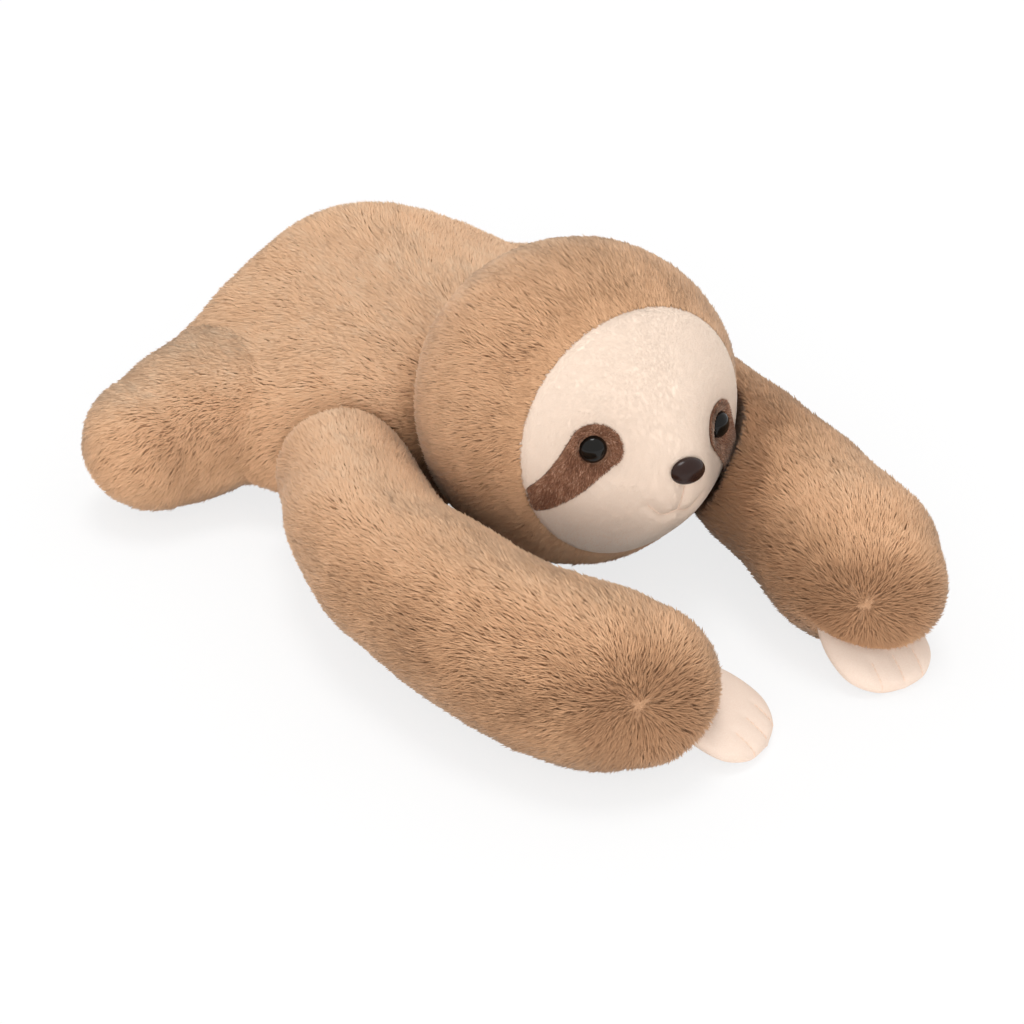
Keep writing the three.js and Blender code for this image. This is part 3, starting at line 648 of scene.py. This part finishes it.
def deepest(places, line, radius):
    # how far each place lies inside a limb, and the number of the section that it lies deepest in
    depth, nearest = np.full(len(places), -1e9), np.zeros(len(places), int)
    for step, (middle, size) in enumerate(zip(line, radius)):
        deep = size - sizeOf(places - middle)
        better = deep > depth
        depth[better], nearest[better] = deep[better], step
    return depth, nearest


def limbDepth(places, line, radius):
    # how far each place lies inside a limb, and how far along the limb it is
    depth, nearest = deepest(places, line[::3], radius[::3])
    return depth, nearest * 3 / len(line)


def raised(form, amount, seed, wavelength):
    # soft unevenness, as stuffing gives
    return form[0] + normalsOf(form) * (amount * waves(seed, wavelength)(form[0]))[:, None], form[1]


def onFloor(form, lowest=0.3):
    points = form[0].copy()
    points[:, 2] = np.maximum(points[:, 2], lowest)
    return points, form[1]


def besideHead(form, side, inset):
    # the arm gives way to the head, at rest and as the arm moves
    points = form[0].copy()
    shoulder = shoulderAt(side)
    for dropShare, spreadShare in arm["moves"]:
        place = turned(headPlace, shoulder, "Z", -sides[side] * arm["spread"] * spreadShare)
        place = turned(place, shoulder, "X", -arm["drop"] * dropShare)
        away = points - place
        reach = head["radius"] + shared["rub"] + inset
        points = np.where(sizeOf(away, True) < reach, place + unit(away) * reach, points)
    return points, form[1]


def armSkin(side, inset, drop=0.0):
    line, radius = armLine(side, drop)
    radius = radius - inset
    points, faces = limbForm(line, radius)
    # rings would cross where the arm bends tightly: points inside a section move out to its surface
    for _ in range(2):
        depth, nearest = deepest(points, line, radius)
        way = unit(points - line[nearest])
        points = np.where(depth[:, None] > 0, line[nearest] + way * radius[nearest][:, None], points)
    return points, faces


def legSkin(side, inset):
    line, radius = legLine(side)
    return limbForm(line, radius - inset)


def awayFrom(places, others):
    # how far each place lies from the nearest point of some other forms
    points = np.vstack([other[0] for other in others])
    tree = kdtree.KDTree(len(points))
    for number, point in enumerate(points):
        tree.insert(point, number)
    tree.balance()
    return np.array([tree.find(place)[2] for place in places])


def swollen(form, others):
    # a soft fillet at the sides, where two stuffed forms grow out of each other
    width = shared["fillet"]
    height = form[0][:, 2]
    near = np.maximum(0, 1 - awayFrom(form[0], others) / width) ** 2
    # none at the floor, and little over the back
    near = near * between(height, 6, 26) * (1 - 0.75 * between(height, 58, 74))
    return form[0] + normalsOf(form) * (width / 4 * near)[:, None], form[1]


backing = shared["backing"]
limbs = {("arm", side): armLine(side) for side in sides} | {("leg", side): legLine(side) for side in sides}


def clearOfLimbs(places, kind, room, soft=2):
    # 1 well outside both arms or both legs, 0 inside them
    clear = np.ones(len(places))
    for side in sides:
        clear *= between(-limbDepth(places, *limbs[kind, side])[0], room - soft, room)
    return clear


def clearOfHead(places, room, soft=2):
    ways = toHead(places)
    return between(sizeOf(ways) - headReach(unit(ways), 0), room - soft, room)


def ballForm(middle, radius):
    # rings of (sin t cos a, sin t sin a, -cos t), with a all the way round and t from pole to pole
    a, t = turns(96), np.linspace(0, np.pi, 49)[1:-1, None]
    rings = spots(np.sin(t) * np.cos(a), np.sin(t) * np.sin(a), -np.cos(t))
    points, faces = formOver((0, 0, -1), rings, (0, 0, 1))
    return points * radius + middle, faces


def offFloor(normal, low=0.8):
    # 1 where the fur shows, 0 underneath
    return 1 - between(-normal[:, 2], low, 0.95)


# Body: its skin, cut back where head and limbs sit in it, and its fur, combed back and down its sides
bodyPlain = raised(bodyForm(backing, shared["pressed"]), 0.9, 21, 60)
legsPlain = {side: raised(legSkin(side, backing), 0.6, 23, 50) for side in sides}
bodySmooth = swollen(bodyPlain, legsPlain.values())
# the cuts leave room at the head and the arms, and end inside the legs
bodyCuts = [ballForm(headPlace, head["radius"] + 2 * shared["rub"])]
for side in sides:
    bodyCuts += [armSkin(side, -shared["rub"], drop) for drop in (0, arm["drop"])]
    bodyCuts.append(legSkin(side, 2.0))
addPiece(
    "body_cover", cutAway(onFloor(bodySmooth), bodyCuts), "backing", "torso",
    ["body_skin", "body_stuffing"])
print("body made")


# the rings of stitches that hold head and arms, which the pile grows over
seams = [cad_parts[name] for name in (
    "neck_seam_stitches", "shoulder_seam_stitches_right", "shoulder_seam_stitches_left")]
seamPoints = np.array([seam.matrix_world @ corner.co for seam in seams for corner in seam.data.vertices])
seamPoints = seamPoints * 1000 - shared["neckFloor"]


def overSeams(places):
    # how much longer and steeper the pile is over a seam
    return 1 + 0.45 * bell(awayFrom(places, [(seamPoints, None)]), 5)


def bodyComb(places, normal):
    middle = bendAt(places[:, 1])
    out = np.clip((places[:, 0] - middle) / 90, -1, 1)
    return spots(0.55 * out, 0.9, -0.35 - 0.5 * np.abs(out))


def furToneAndTopLight(places, normal):
    # painted light: paler where the fur faces up, as if lit from above; and mottled at random
    up = np.maximum(normal[:, 2], 0)
    return 0.32 + 0.49 * up**2 + 0.06 * mottle(places) + 0.05 * patchy(places)


def bodyToneAndShade(places, normal):
    # painted shade: darker in the creases beside the head and the arms
    shadeBeside = 1 - clearOfHead(places, 14, 14) * (0.4 + 0.6 * clearOfLimbs(places, "arm", 9, 9))
    return furToneAndTopLight(places, normal) - 0.36 * shadeBeside


def bodyWeight(places, normal):
    clear = clearOfHead(places, -1) * clearOfLimbs(places, "arm", -1.5) * clearOfLimbs(places, "leg", -5)
    return offFloor(normal, 0.75) * clear


furOn("body_fur", bodySmooth, "torso", longFur, bodyComb, bodyToneAndShade, bodyWeight)

# Hood
hoodSmooth = hoodForm(backing)
addPiece(
    "hood_cover", onFloor(hoodSmooth, 0.6), "backing", "head",
    ["hood_skin", "head_stuffing"])
print("hood made")


def hoodComb(places, normal):
    # away from the face all round it, then back over the head
    x, y, z = toHead(places).T
    out = spots(x, 0, z - head["faceRise"])
    back = between(y, -40, 20)[:, None]
    return unit(out) * (1 - 0.6 * back) + np.array([0.0, 1.0, -0.25]) * (0.35 + back)


def hoodToneLightAndShade(places, normal):
    # much the same all round, with painted shade at the edge of the face, painted light low down and a little
    # on top, and the body's fur tone with its painted top light towards the back
    own = toHead(places)
    # painted shade at the edge of the face, and painted light low on the hood
    edge, low = bell(ovalShare(own) - 1.02, 0.1), between(-own[:, 2], 5, 45)
    even = 0.37 + 0.05 * normal[:, 2] + 0.35 * low - 0.13 * edge
    even = even + 0.05 * mottle(places) + 0.04 * patchy(places)
    back = between(own[:, 1], -15, 45)
    return even * (1 - back) + furToneAndTopLight(places, normal) * back


def hoodWeight(places, normal):
    own = toHead(places)
    share = ovalShare(own)
    # denser at the edge of the face
    denser = 1 + 1.6 * (1 - between(share, 1.01, 1.08))
    shown = between(share, 0.98, 0.985) * between(places[:, 2], 1, 5) * denser
    return shown * between(-bodyDepth(places), -5, -1)


def hoodGrowth(places):
    # laid flatter and a little shorter at the edge round the face
    away = between(ovalShare(toHead(places)), 0.99, 1.1)
    over = overSeams(places)
    return (0.72 + 0.28 * away) * over, (0.62 + 0.38 * away) * over


furOn("hood_fur", hoodSmooth, "head", longFur, hoodComb, hoodToneLightAndShade, hoodWeight, hoodGrowth)


# Legs
def makeLeg(side):
    smooth = onFloor(swollen(legsPlain[side], [bodyPlain]))
    line = (limbs["leg", side][0] + shared["neckFloor"]) * 0.001
    bend = {"a": "torso", "b": f"leg_{side}", "start": tuple(line[0]), "end": tuple(line[-1])}
    addPiece(
        f"leg_cover_{side}", smooth, "backing", bend,
        [f"leg_skin_{side}", f"leg_stuffing_{side}"])

    def comb(places, normal):
        return np.tile((0.7 * sides[side], 0.45, -0.55), (len(places), 1))

    def weight(places, normal):
        return offFloor(normal) * between(-bodyDepth(places), -9, -4)

    furOn(f"leg_fur_{side}", smooth, bend, longFur, comb, furToneAndTopLight, weight)


for side in sides:
    makeLeg(side)

# Claw pads, and their stitched grooves
claw = {
    "length": 54.0, "width": 47.0, "thickness": 14.0, "flat": 0.5, "power": 2.2, "tilt": math.radians(24),
    "tipDrop": 3.7, "stitch": 1.7, "stitchPitch": 2.4, "thread": 0.18,
    "shares": [  # along the pad, then shares of its half width and half thickness
        (0, 0, 0), (0.05, 0.5, 0.5), (0.2, 0.78, 0.82), (0.5, 0.98, 1), (0.75, 0.94, 0.9), (0.93, 0.6, 0.6),
        (1, 0, 0),
    ],
    "rows": (-10.6, 0.0, 10.6), "rowStart": 14.6, "rowEnd": 23.2, "grooveDepth": 0.55, "grooveWidth": 2.0,
    # how far aside and ahead each pad lies, and how far it turns in
    "right": (33.2, 146.5, math.radians(31)), "left": (56.8, 143.5, math.radians(4)),
}


def placeClaw(side, places):
    # raised from its tip, turned, and set in the end of the arm
    aside, ahead, turn = claw[side]
    tilted = turned(places, np.array([0, -claw["length"] / 2, 0]), "X", claw["tilt"])
    place = (sides[side] * aside, -ahead, -claw["tipDrop"])
    return turned(tilted, np.zeros(3), "Z", -sides[side] * turn) + place


def padForm(side, grow=0.0, grooved=True, stations=72, around=120):
    length = claw["length"] + 2 * grow
    middle = claw["thickness"] / 2 - claw["flat"]
    share = (1 - np.cos(np.pi * np.arange(1, stations) / stations)) / 2
    angle = turns(around)
    half, thick = (value[:, None] for value in columns(claw["shares"], share))
    half, thick = claw["width"] / 2 * half + grow, claw["thickness"] / 2 * thick + grow
    across, rise = fuller(np.cos(angle), claw["power"]), fuller(np.sin(angle), claw["power"])
    rings = spots(half * across, (length / 2 - length * share)[:, None], middle + thick * rise)
    if grooved:
        x, y, z = (rings[..., axis] for axis in range(3))
        deep = sum(bell(x - row, claw["grooveWidth"]) for row in claw["rows"])
        deep = deep * between(-y, claw["rowStart"] - 6, claw["rowStart"]) * claw["grooveDepth"]
        rings[..., 2] = z - deep * between(z - middle, 0, 2)
    form = formOver((0, length / 2, middle), rings, (0, -length / 2, middle))
    return onFloor((placeClaw(side, form[0]), form[1]), 0.2)


def tubeAlong(line, radius):
    return limbForm(np.asarray(line, float), np.full(len(line), radius), 10, 4)


def clawThread(start, row):
    # one stitch of a running thread on the pad's top, sunk a little at its ends
    ahead = np.linspace(start, start + claw["stitch"], 7)
    half, thick = columns(claw["shares"], 0.5 + ahead / claw["length"])
    fall = np.minimum(abs(row) / (claw["width"] / 2 * half), 1) ** claw["power"]
    top = claw["thickness"] / 2 * (1 + thick * (1 - fall) ** (1 / claw["power"])) - claw["flat"]
    lift = 0.25 * np.sin(np.linspace(0, np.pi, 7)) - claw["grooveDepth"] + 0.02
    return tubeAlong(spots(row, -ahead, top + lift), claw["thread"])


for side in sides:
    addPiece(
        f"claw_cover_{side}", padForm(side), "velour", f"arm_{side}",
        [f"claw_pad_{side}", f"claw_padding_{side}"])
    starts = np.arange(claw["rowStart"] - 1, claw["rowEnd"] + 2, claw["stitchPitch"])
    points, faces = joined([clawThread(start, row) for row in claw["rows"] for start in starts])
    addPiece(
        f"claw_threads_{side}", (placeClaw(side, points), faces), "palest thread", f"arm_{side}",
        [f"claw_topstitching_{side}"])


# Arms: the fur grows out from a whorl at the hand, and runs up the arm from there
def makeArm(side):
    smooth = besideHead(onFloor(raised(armSkin(side, backing), 0.8, 22, 55)), side, backing)
    addPiece(
        f"arm_cover_{side}", cutAway(smooth, [padForm(side, 0.4, False)]), "backing", f"arm_{side}",
        [f"arm_skin_{side}", f"arm_stuffing_{side}"])
    line, radius = limbs["arm", side]
    ways = unit(np.gradient(line, axis=0))
    whorl = np.array(arm["whorl"][side])
    pad = padForm(side, 0.0, False)

    def comb(places, normal):
        along = limbDepth(places, line, radius)[1]
        main = (0, 0, -0.2) - ways[np.minimum((along * len(line)).astype(int), len(line) - 1)]
        near = bell(sizeOf(places - whorl, True), 45)
        return unit(main) * (1 - near) + unit(places - whorl) * near * 1.6

    def tone(places, normal):
        # darker further down the arm, with painted shadow from the head over the upper part of the far arm,
        # and painted shade beside the head and at the whorl
        at = limbDepth(places, line, radius)[1]
        # painted shadow from the head on the upper part of the far arm
        along = 0.2 * between(at, 0.15, 0.5) + arm["headShadow"][side] * (1 - between(at, 0.45, 0.75))
        shadeBeside = 1 - between(sizeOf(places - headPlace) - head["radius"], 0, 40)
        # painted shade at the whorl, where the pile parts
        near = bell(sizeOf(places - whorl), 20)
        return furToneAndTopLight(places, normal) - along - 0.3 * shadeBeside - 0.36 * near

    def weight(places, normal):
        return offFloor(normal) * between(-bodyDepth(places), -6, -2) * clearOfHead(places, 1.2)

    def growth(places):
        # shorter round the claw pad
        away = between(awayFrom(places, [pad]), 1, 10)
        over = overSeams(places)
        return (0.3 + 0.7 * away) * over, (0.6 + 0.4 * away) * over

    furOn(f"arm_fur_{side}", smooth, f"arm_{side}", longFur, comb, tone, weight, growth)


for side in sides:
    makeArm(side)
print("limbs made")

# Face panel, with its short pile
mouth = {
    "halfWidth": 14.0, "smile": [(-1, 13.5), (-0.45, 18.5), (0, 16.5), (0.45, 18.5), (1, 13.5)],
    "lip": (4.5, 16.5), "thread": 0.26, "pressWidth": 3.0, "pressDepth": 1.3,
}
smile = [(share * mouth["halfWidth"], -drop) for share, drop in mouth["smile"]]
smileLine = curveThrough(smile, np.linspace(0, 1, 60))
lipLine = spots(0, -np.linspace(*mouth["lip"], 16))


def mouthPress(aside, rise):
    # how deep the face is drawn in along the mouth's lines
    near = np.min([np.hypot(aside - x, rise - z) for x, z in np.vstack([smileLine, lipLine])], axis=0)
    return mouth["pressDepth"] * bell(near, mouth["pressWidth"])


def faceForm():
    angle = turns(200)
    rings = []
    for share in (*np.linspace(0, 0.96, 61)[1:], 0.975, 0.99, 1.0):
        aside, rise = ovalSpot(share, angle)
        edge = head["panelEdge"] * between(share, 0.965, 1.01) ** 2
        rings.append(onFace(aside, rise, head["recess"] + mouthPress(aside, rise) + edge))
    for share in (1.0, 0.95, 0.8, 0.6, 0.4, 0.2):
        rings.append(onFace(*ovalSpot(share, angle), head["recess"] + head["panel"]))
    ends = [onFace(0, head["faceRise"], head["recess"] + extra) for extra in (0, head["panel"])]
    return onHead(ends[0], rings, ends[1])


facePlain = faceForm()
addPiece("face_cover", facePlain, "face", "head", ["face_panel"])


def faceComb(places, normal):
    x, _, z = toHead(places).T
    return spots(x * 0.6, 0, z * 0.6 - 20)


def faceToneAndChinLight(places, normal):
    # a little deeper in colour about the muzzle, with painted light under the chin, which is paler there
    x, _, z = toHead(places).T
    near = bell(np.hypot(x - 8, z + 14), 26)
    return 0.5 + 0.02 * patchy(places) - 0.1 * near + 0.45 * between(-z, 14, 44)


def outerSide(places, normal):
    # 1 on the side of a form that looks away from the head, 0 on its back
    return between((normal * unit(places - headPlace)).sum(axis=1), 0, 0.3)


def eyeAway(side, aside, rise):
    # how far a spot on the face lies from the middle of an eye
    return np.hypot(aside - sides[side] * eye["aside"], rise - eye["rise"])


def faceWeight(places, normal):
    own = toHead(places)
    shown = outerSide(places, normal)
    for side in sides:
        shown = shown * between(eyeAway(side, own[:, 0], own[:, 2]), 8, 9)
    return shown * between(1.0 - ovalShare(own), 0.0, 0.005)


shortFur = {
    **longFur, "finish": "cream", "perArea": 4.2, "length": 1.7, "width": 0.3, "rise": 0.2, "turn": 0.4,
    "lockTurn": 0.1, "lockLift": 0.0, "most": 44000, "toneChance": 0.02, "glow": 0.02,
}
furOn("face_pile", facePlain, "head", shortFur, faceComb, faceToneAndChinLight, faceWeight)

# Eye patches: drops round each eye with a tail down and out
patch = {
    "thickness": 1.2, "above": 1.5, "eyeEnd": 11.0, "tailEnd": 6.5, "tailOut": 19.0, "tailDrop": 27.0,
    "pile": 1.4,  # how far the pile stands out over the cloth's edge
    "sunk": 0.9,  # how far the cloth is drawn in under the eye
}
patchFur = {
    **shortFur, "finish": "brown", "perArea": 7.0, "length": 2.3, "width": 0.24, "rise": 0.5,
    "toneChance": 0.28, "glow": 0.2,
}


def patchOutline(side):
    aside = sides[side]
    length = math.hypot(patch["tailOut"], patch["tailDrop"])
    lean = math.asin((patch["eyeEnd"] - patch["tailEnd"]) / length)
    along = math.atan2(-patch["tailDrop"], aside * patch["tailOut"])
    eyeAt = (aside * eye["aside"], eye["rise"] + patch["above"])
    tailAt = (eyeAt[0] + aside * patch["tailOut"], eyeAt[1] - patch["tailDrop"])
    arcs = []
    for (x, z), radius, middle, half in (
        (eyeAt, patch["eyeEnd"] - patch["pile"], along + math.pi, math.pi / 2 + lean),
        (tailAt, patch["tailEnd"] - patch["pile"], along, math.pi / 2 - lean),
    ):
        turn = middle + np.linspace(-half, half, 26)
        arcs.append(spots(x + radius * np.cos(turn), z + radius * np.sin(turn)))
    # the two round ends and the straight lines between them, in even steps
    outline = np.vstack([*arcs, arcs[0][:1]])
    far = np.concatenate([[0], np.cumsum(sizeOf(np.diff(outline, axis=0)))])
    even = np.linspace(0, far[-1], 121)[:-1]
    return spots(*(np.interp(even, far, line) for line in outline.T))


def patchForm(side):
    outline = patchOutline(side)
    middle = outline.mean(axis=0)
    under = head["recess"] - 0.3
    top = under - patch["thickness"]
    # the cloth ends inside the edge of the face
    keep = np.clip(0.995 / np.maximum(ovalOut(*outline.T), 1e-6), 0, 1)
    outline = outline * keep[:, None] + np.array([0, head["faceRise"]]) * (1 - keep[:, None])
    rings = []
    for share in (*np.linspace(0, 0.94, 16)[1:], 0.97, 0.99, 1.0):
        aside, rise = (middle + (outline - middle) * share).T
        drop = patch["thickness"] * 0.7 * between(share, 0.93, 1.02) ** 2
        drop = drop + patch["sunk"] * (1 - between(eyeAway(side, aside, rise), 6, 7.5))
        rings.append(onFace(aside, rise, top + drop))
    for share in (1.0, 0.7, 0.35):
        rings.append(onFace(*(middle + (outline - middle) * share).T, under))
    return onHead(onFace(*middle, top), rings, onFace(*middle, under))


def makePatch(side):
    smooth, aside = patchForm(side), sides[side]
    addPiece(f"patch_cover_{side}", smooth, "patch", "head", [f"eye_patch_{side}"])

    def comb(places, normal):
        x, _, z = toHead(places).T
        out = spots(x - aside * eye["aside"], 0, z - eye["rise"])
        return unit(out) + (0.3 * aside, 0, -0.6)

    def tone(places, normal):
        return 0.32 + 0.16 * mottle(places)

    def weight(places, normal):
        x, _, z = toHead(places).T
        return outerSide(places, normal) * between(eyeAway(side, x, z), 5.6, 6.4)

    def growth(places):
        # shorter at the edge
        x, _, z = toHead(places).T
        away = np.min([np.hypot(x - aside, z - rise) for aside, rise in patchOutline(side)], axis=0)
        return 0.5 + 0.5 * between(away, 0, 3), 1

    furOn(f"patch_pile_{side}", smooth, "head", patchFur, comb, tone, weight, growth)


for side in sides:
    makePatch(side)

# Eyes and nose: a dome with its shank and washer behind, turned to look the way the face does there
nose = {"radius": 8.8, "high": 5.8, "dome": 4.6, "rise": 3.0, "shank": 2.2, "shankLength": 15.0}
washer = {"radius": 7.5, "front": 8.1, "rear": 9.6}  # how far its two sides lie behind the bead's rim


def beadForm(size, aside, rise, lift, halfHigh):
    shank, full = size["shank"], size["radius"]
    out = [
        (shank, -size["shankLength"]), (shank, -washer["rear"]), (washer["radius"], -washer["rear"]),
        (washer["radius"], -washer["front"]), (shank, -washer["front"]), (shank, -0.1), (full * 0.97, -0.1),
    ]
    out += [(full * math.cos(t), size["dome"] * math.sin(t)) for t in np.linspace(0, np.pi / 2, 25)[:-1]]
    angle = turns(96)[:, None]
    way = faceWay(aside, rise)
    place = onFace(aside, rise, head["recess"]) + way * lift
    side = unit(np.cross((0, 0, 1), way))
    over = np.cross(way, side)
    rings = []
    for radius, height in out:
        # the dome may be oval; what is behind it is round
        tall = radius * (halfHigh / full) if height > -1 else radius
        rings.append(place + way * height + radius * np.cos(angle) * side + tall * np.sin(angle) * over)
    return onHead(place - way * size["shankLength"], rings, place + way * size["dome"])


for side in sides:
    addPiece(
        f"eye_bead_{side}", beadForm(eye, sides[side] * eye["aside"], eye["rise"], 1.8, eye["radius"]), "eye",
        "head", [f"eye_{side}", f"eye_washer_{side}"])
addPiece(
    "nose_bead", beadForm(nose, 0.0, nose["rise"], 0.6, nose["high"]), "nose", "head",
    ["nose", "nose_washer"])

# Mouth
lines = []
for line in (smileLine, lipLine):
    onSkin = onFace(*line.T, head["recess"] + mouth["pressDepth"] - 0.3)
    lines.append(tubeAlong(fromHead(onSkin), mouth["thread"]))
addPiece("mouth_thread", joined(lines), "palest thread", "head", ["mouth_stitching"])

# Rings of stitches between the skins, in the backing's colour under the pile that grows over them
for ring in seams:
    ring.data.materials.clear()
    ring.data.materials.append(finishes["backing"])
print("face made")

# Floor, light and camera
# the floor looks paler to the camera than it shines on the toy, and keeps the toy's shadow
stageFinish = Finish("floor", {"Roughness": 0.9, "Base Color": (0.93, 0.93, 0.93, 1)})
seen = stageFinish.node("ShaderNodeLightPath", {}, {}, "Is Camera Ray")
surfaces = [Signal(stageFinish, stageFinish.shader.outputs[0]), stageFinish.node("ShaderNodeEmission", {}, {})]
mixed = stageFinish.node("ShaderNodeMixShader", {}, [seen * 0.78, *surfaces])
stageFinish.put(mixed, stageFinish.tree.nodes["Material Output"].inputs[0])
floorMesh = bpy.data.meshes.new("floor")
floorMesh.from_pydata([(-6, -6, 0), (6, -6, 0), (6, 6, 0), (-6, 6, 0)], [], [(0, 1, 2, 3)])
floorMesh.materials.append(stageFinish.material)
linked("floor", floorMesh)

world = bpy.data.worlds.new("surround")
bpy.context.scene.world = world
sky = Nodes(world)
background = sky.tree.nodes["Background"].inputs
background["Color"].default_value = (1, 1, 1, 1)
# white to the camera, and a little less on the toy
rays = [sky.node("ShaderNodeLightPath", {}, {}, f"Is {kind} Ray") for kind in ("Camera", "Transmission")]
clear = sky.node("ShaderNodeMath", {"operation": "MAXIMUM"}, rays)
strength = sky.node("ShaderNodeMapRange", {}, {"Value": clear, "To Min": 0.72, "To Max": 1.0})
sky.put(strength, background["Strength"])


def addSun(name, way, strength, spread):
    # way points from the toy to the light
    lamp = bpy.data.lights.new(name, "SUN")
    lamp.energy, lamp.angle = strength, math.radians(spread)
    made = linked(name, lamp)
    z = unit(np.array(way, float))
    x = unit(np.cross((0, 1, 0), z))
    made.matrix_world = Matrix(np.stack([x, np.cross(z, x), z], axis=1)).to_4x4()
    return made


addSun("key light", (0.1, 0.15, 0.97), 1.0, 24)
addSun("side light", (-0.6, -0.77, 0.08), 2.05, 60).visible_glossy = False

lens = {
    "around": -33.0, "above": 31.5, "length": 70.0, "sensor": 36, "picture": 1024,
    "aim": (11.034, -125.0, 74.5), "aimAt": (575, 402),  # the middle of the head, and its pixel
    "scale": 0.45,  # millimetres to a pixel there
}
camera = linked("camera", bpy.data.cameras.new("camera"))
camera.data.lens, camera.data.sensor_width = lens["length"], lens["sensor"]
a, e = math.radians(lens["around"]), math.radians(lens["above"])
back = np.array([math.sin(a) * math.cos(e), -math.cos(a) * math.cos(e), math.sin(e)])
right = np.array([math.cos(a), math.sin(a), 0])
upward = np.cross(back, right)
# pixels aside, down and back from the middle of the head
x, y = lens["aimAt"][0] - lens["picture"] / 2, lens["aimAt"][1] - lens["picture"] / 2
focal = lens["picture"] * lens["length"] / lens["sensor"]
place = lens["aim"] + lens["scale"] * (back * focal - right * x + upward * y)
rows = [[*row, at * 0.001] for row, at in zip(np.stack([right, upward, back], axis=1), place)]
camera.matrix_world = Matrix([*rows, [0, 0, 0, 1]])
camera.data.clip_start, camera.data.clip_end = 0.05, 20
bpy.context.scene.camera = camera
bpy.context.scene.view_settings.view_transform = "Standard"

print("scene made")
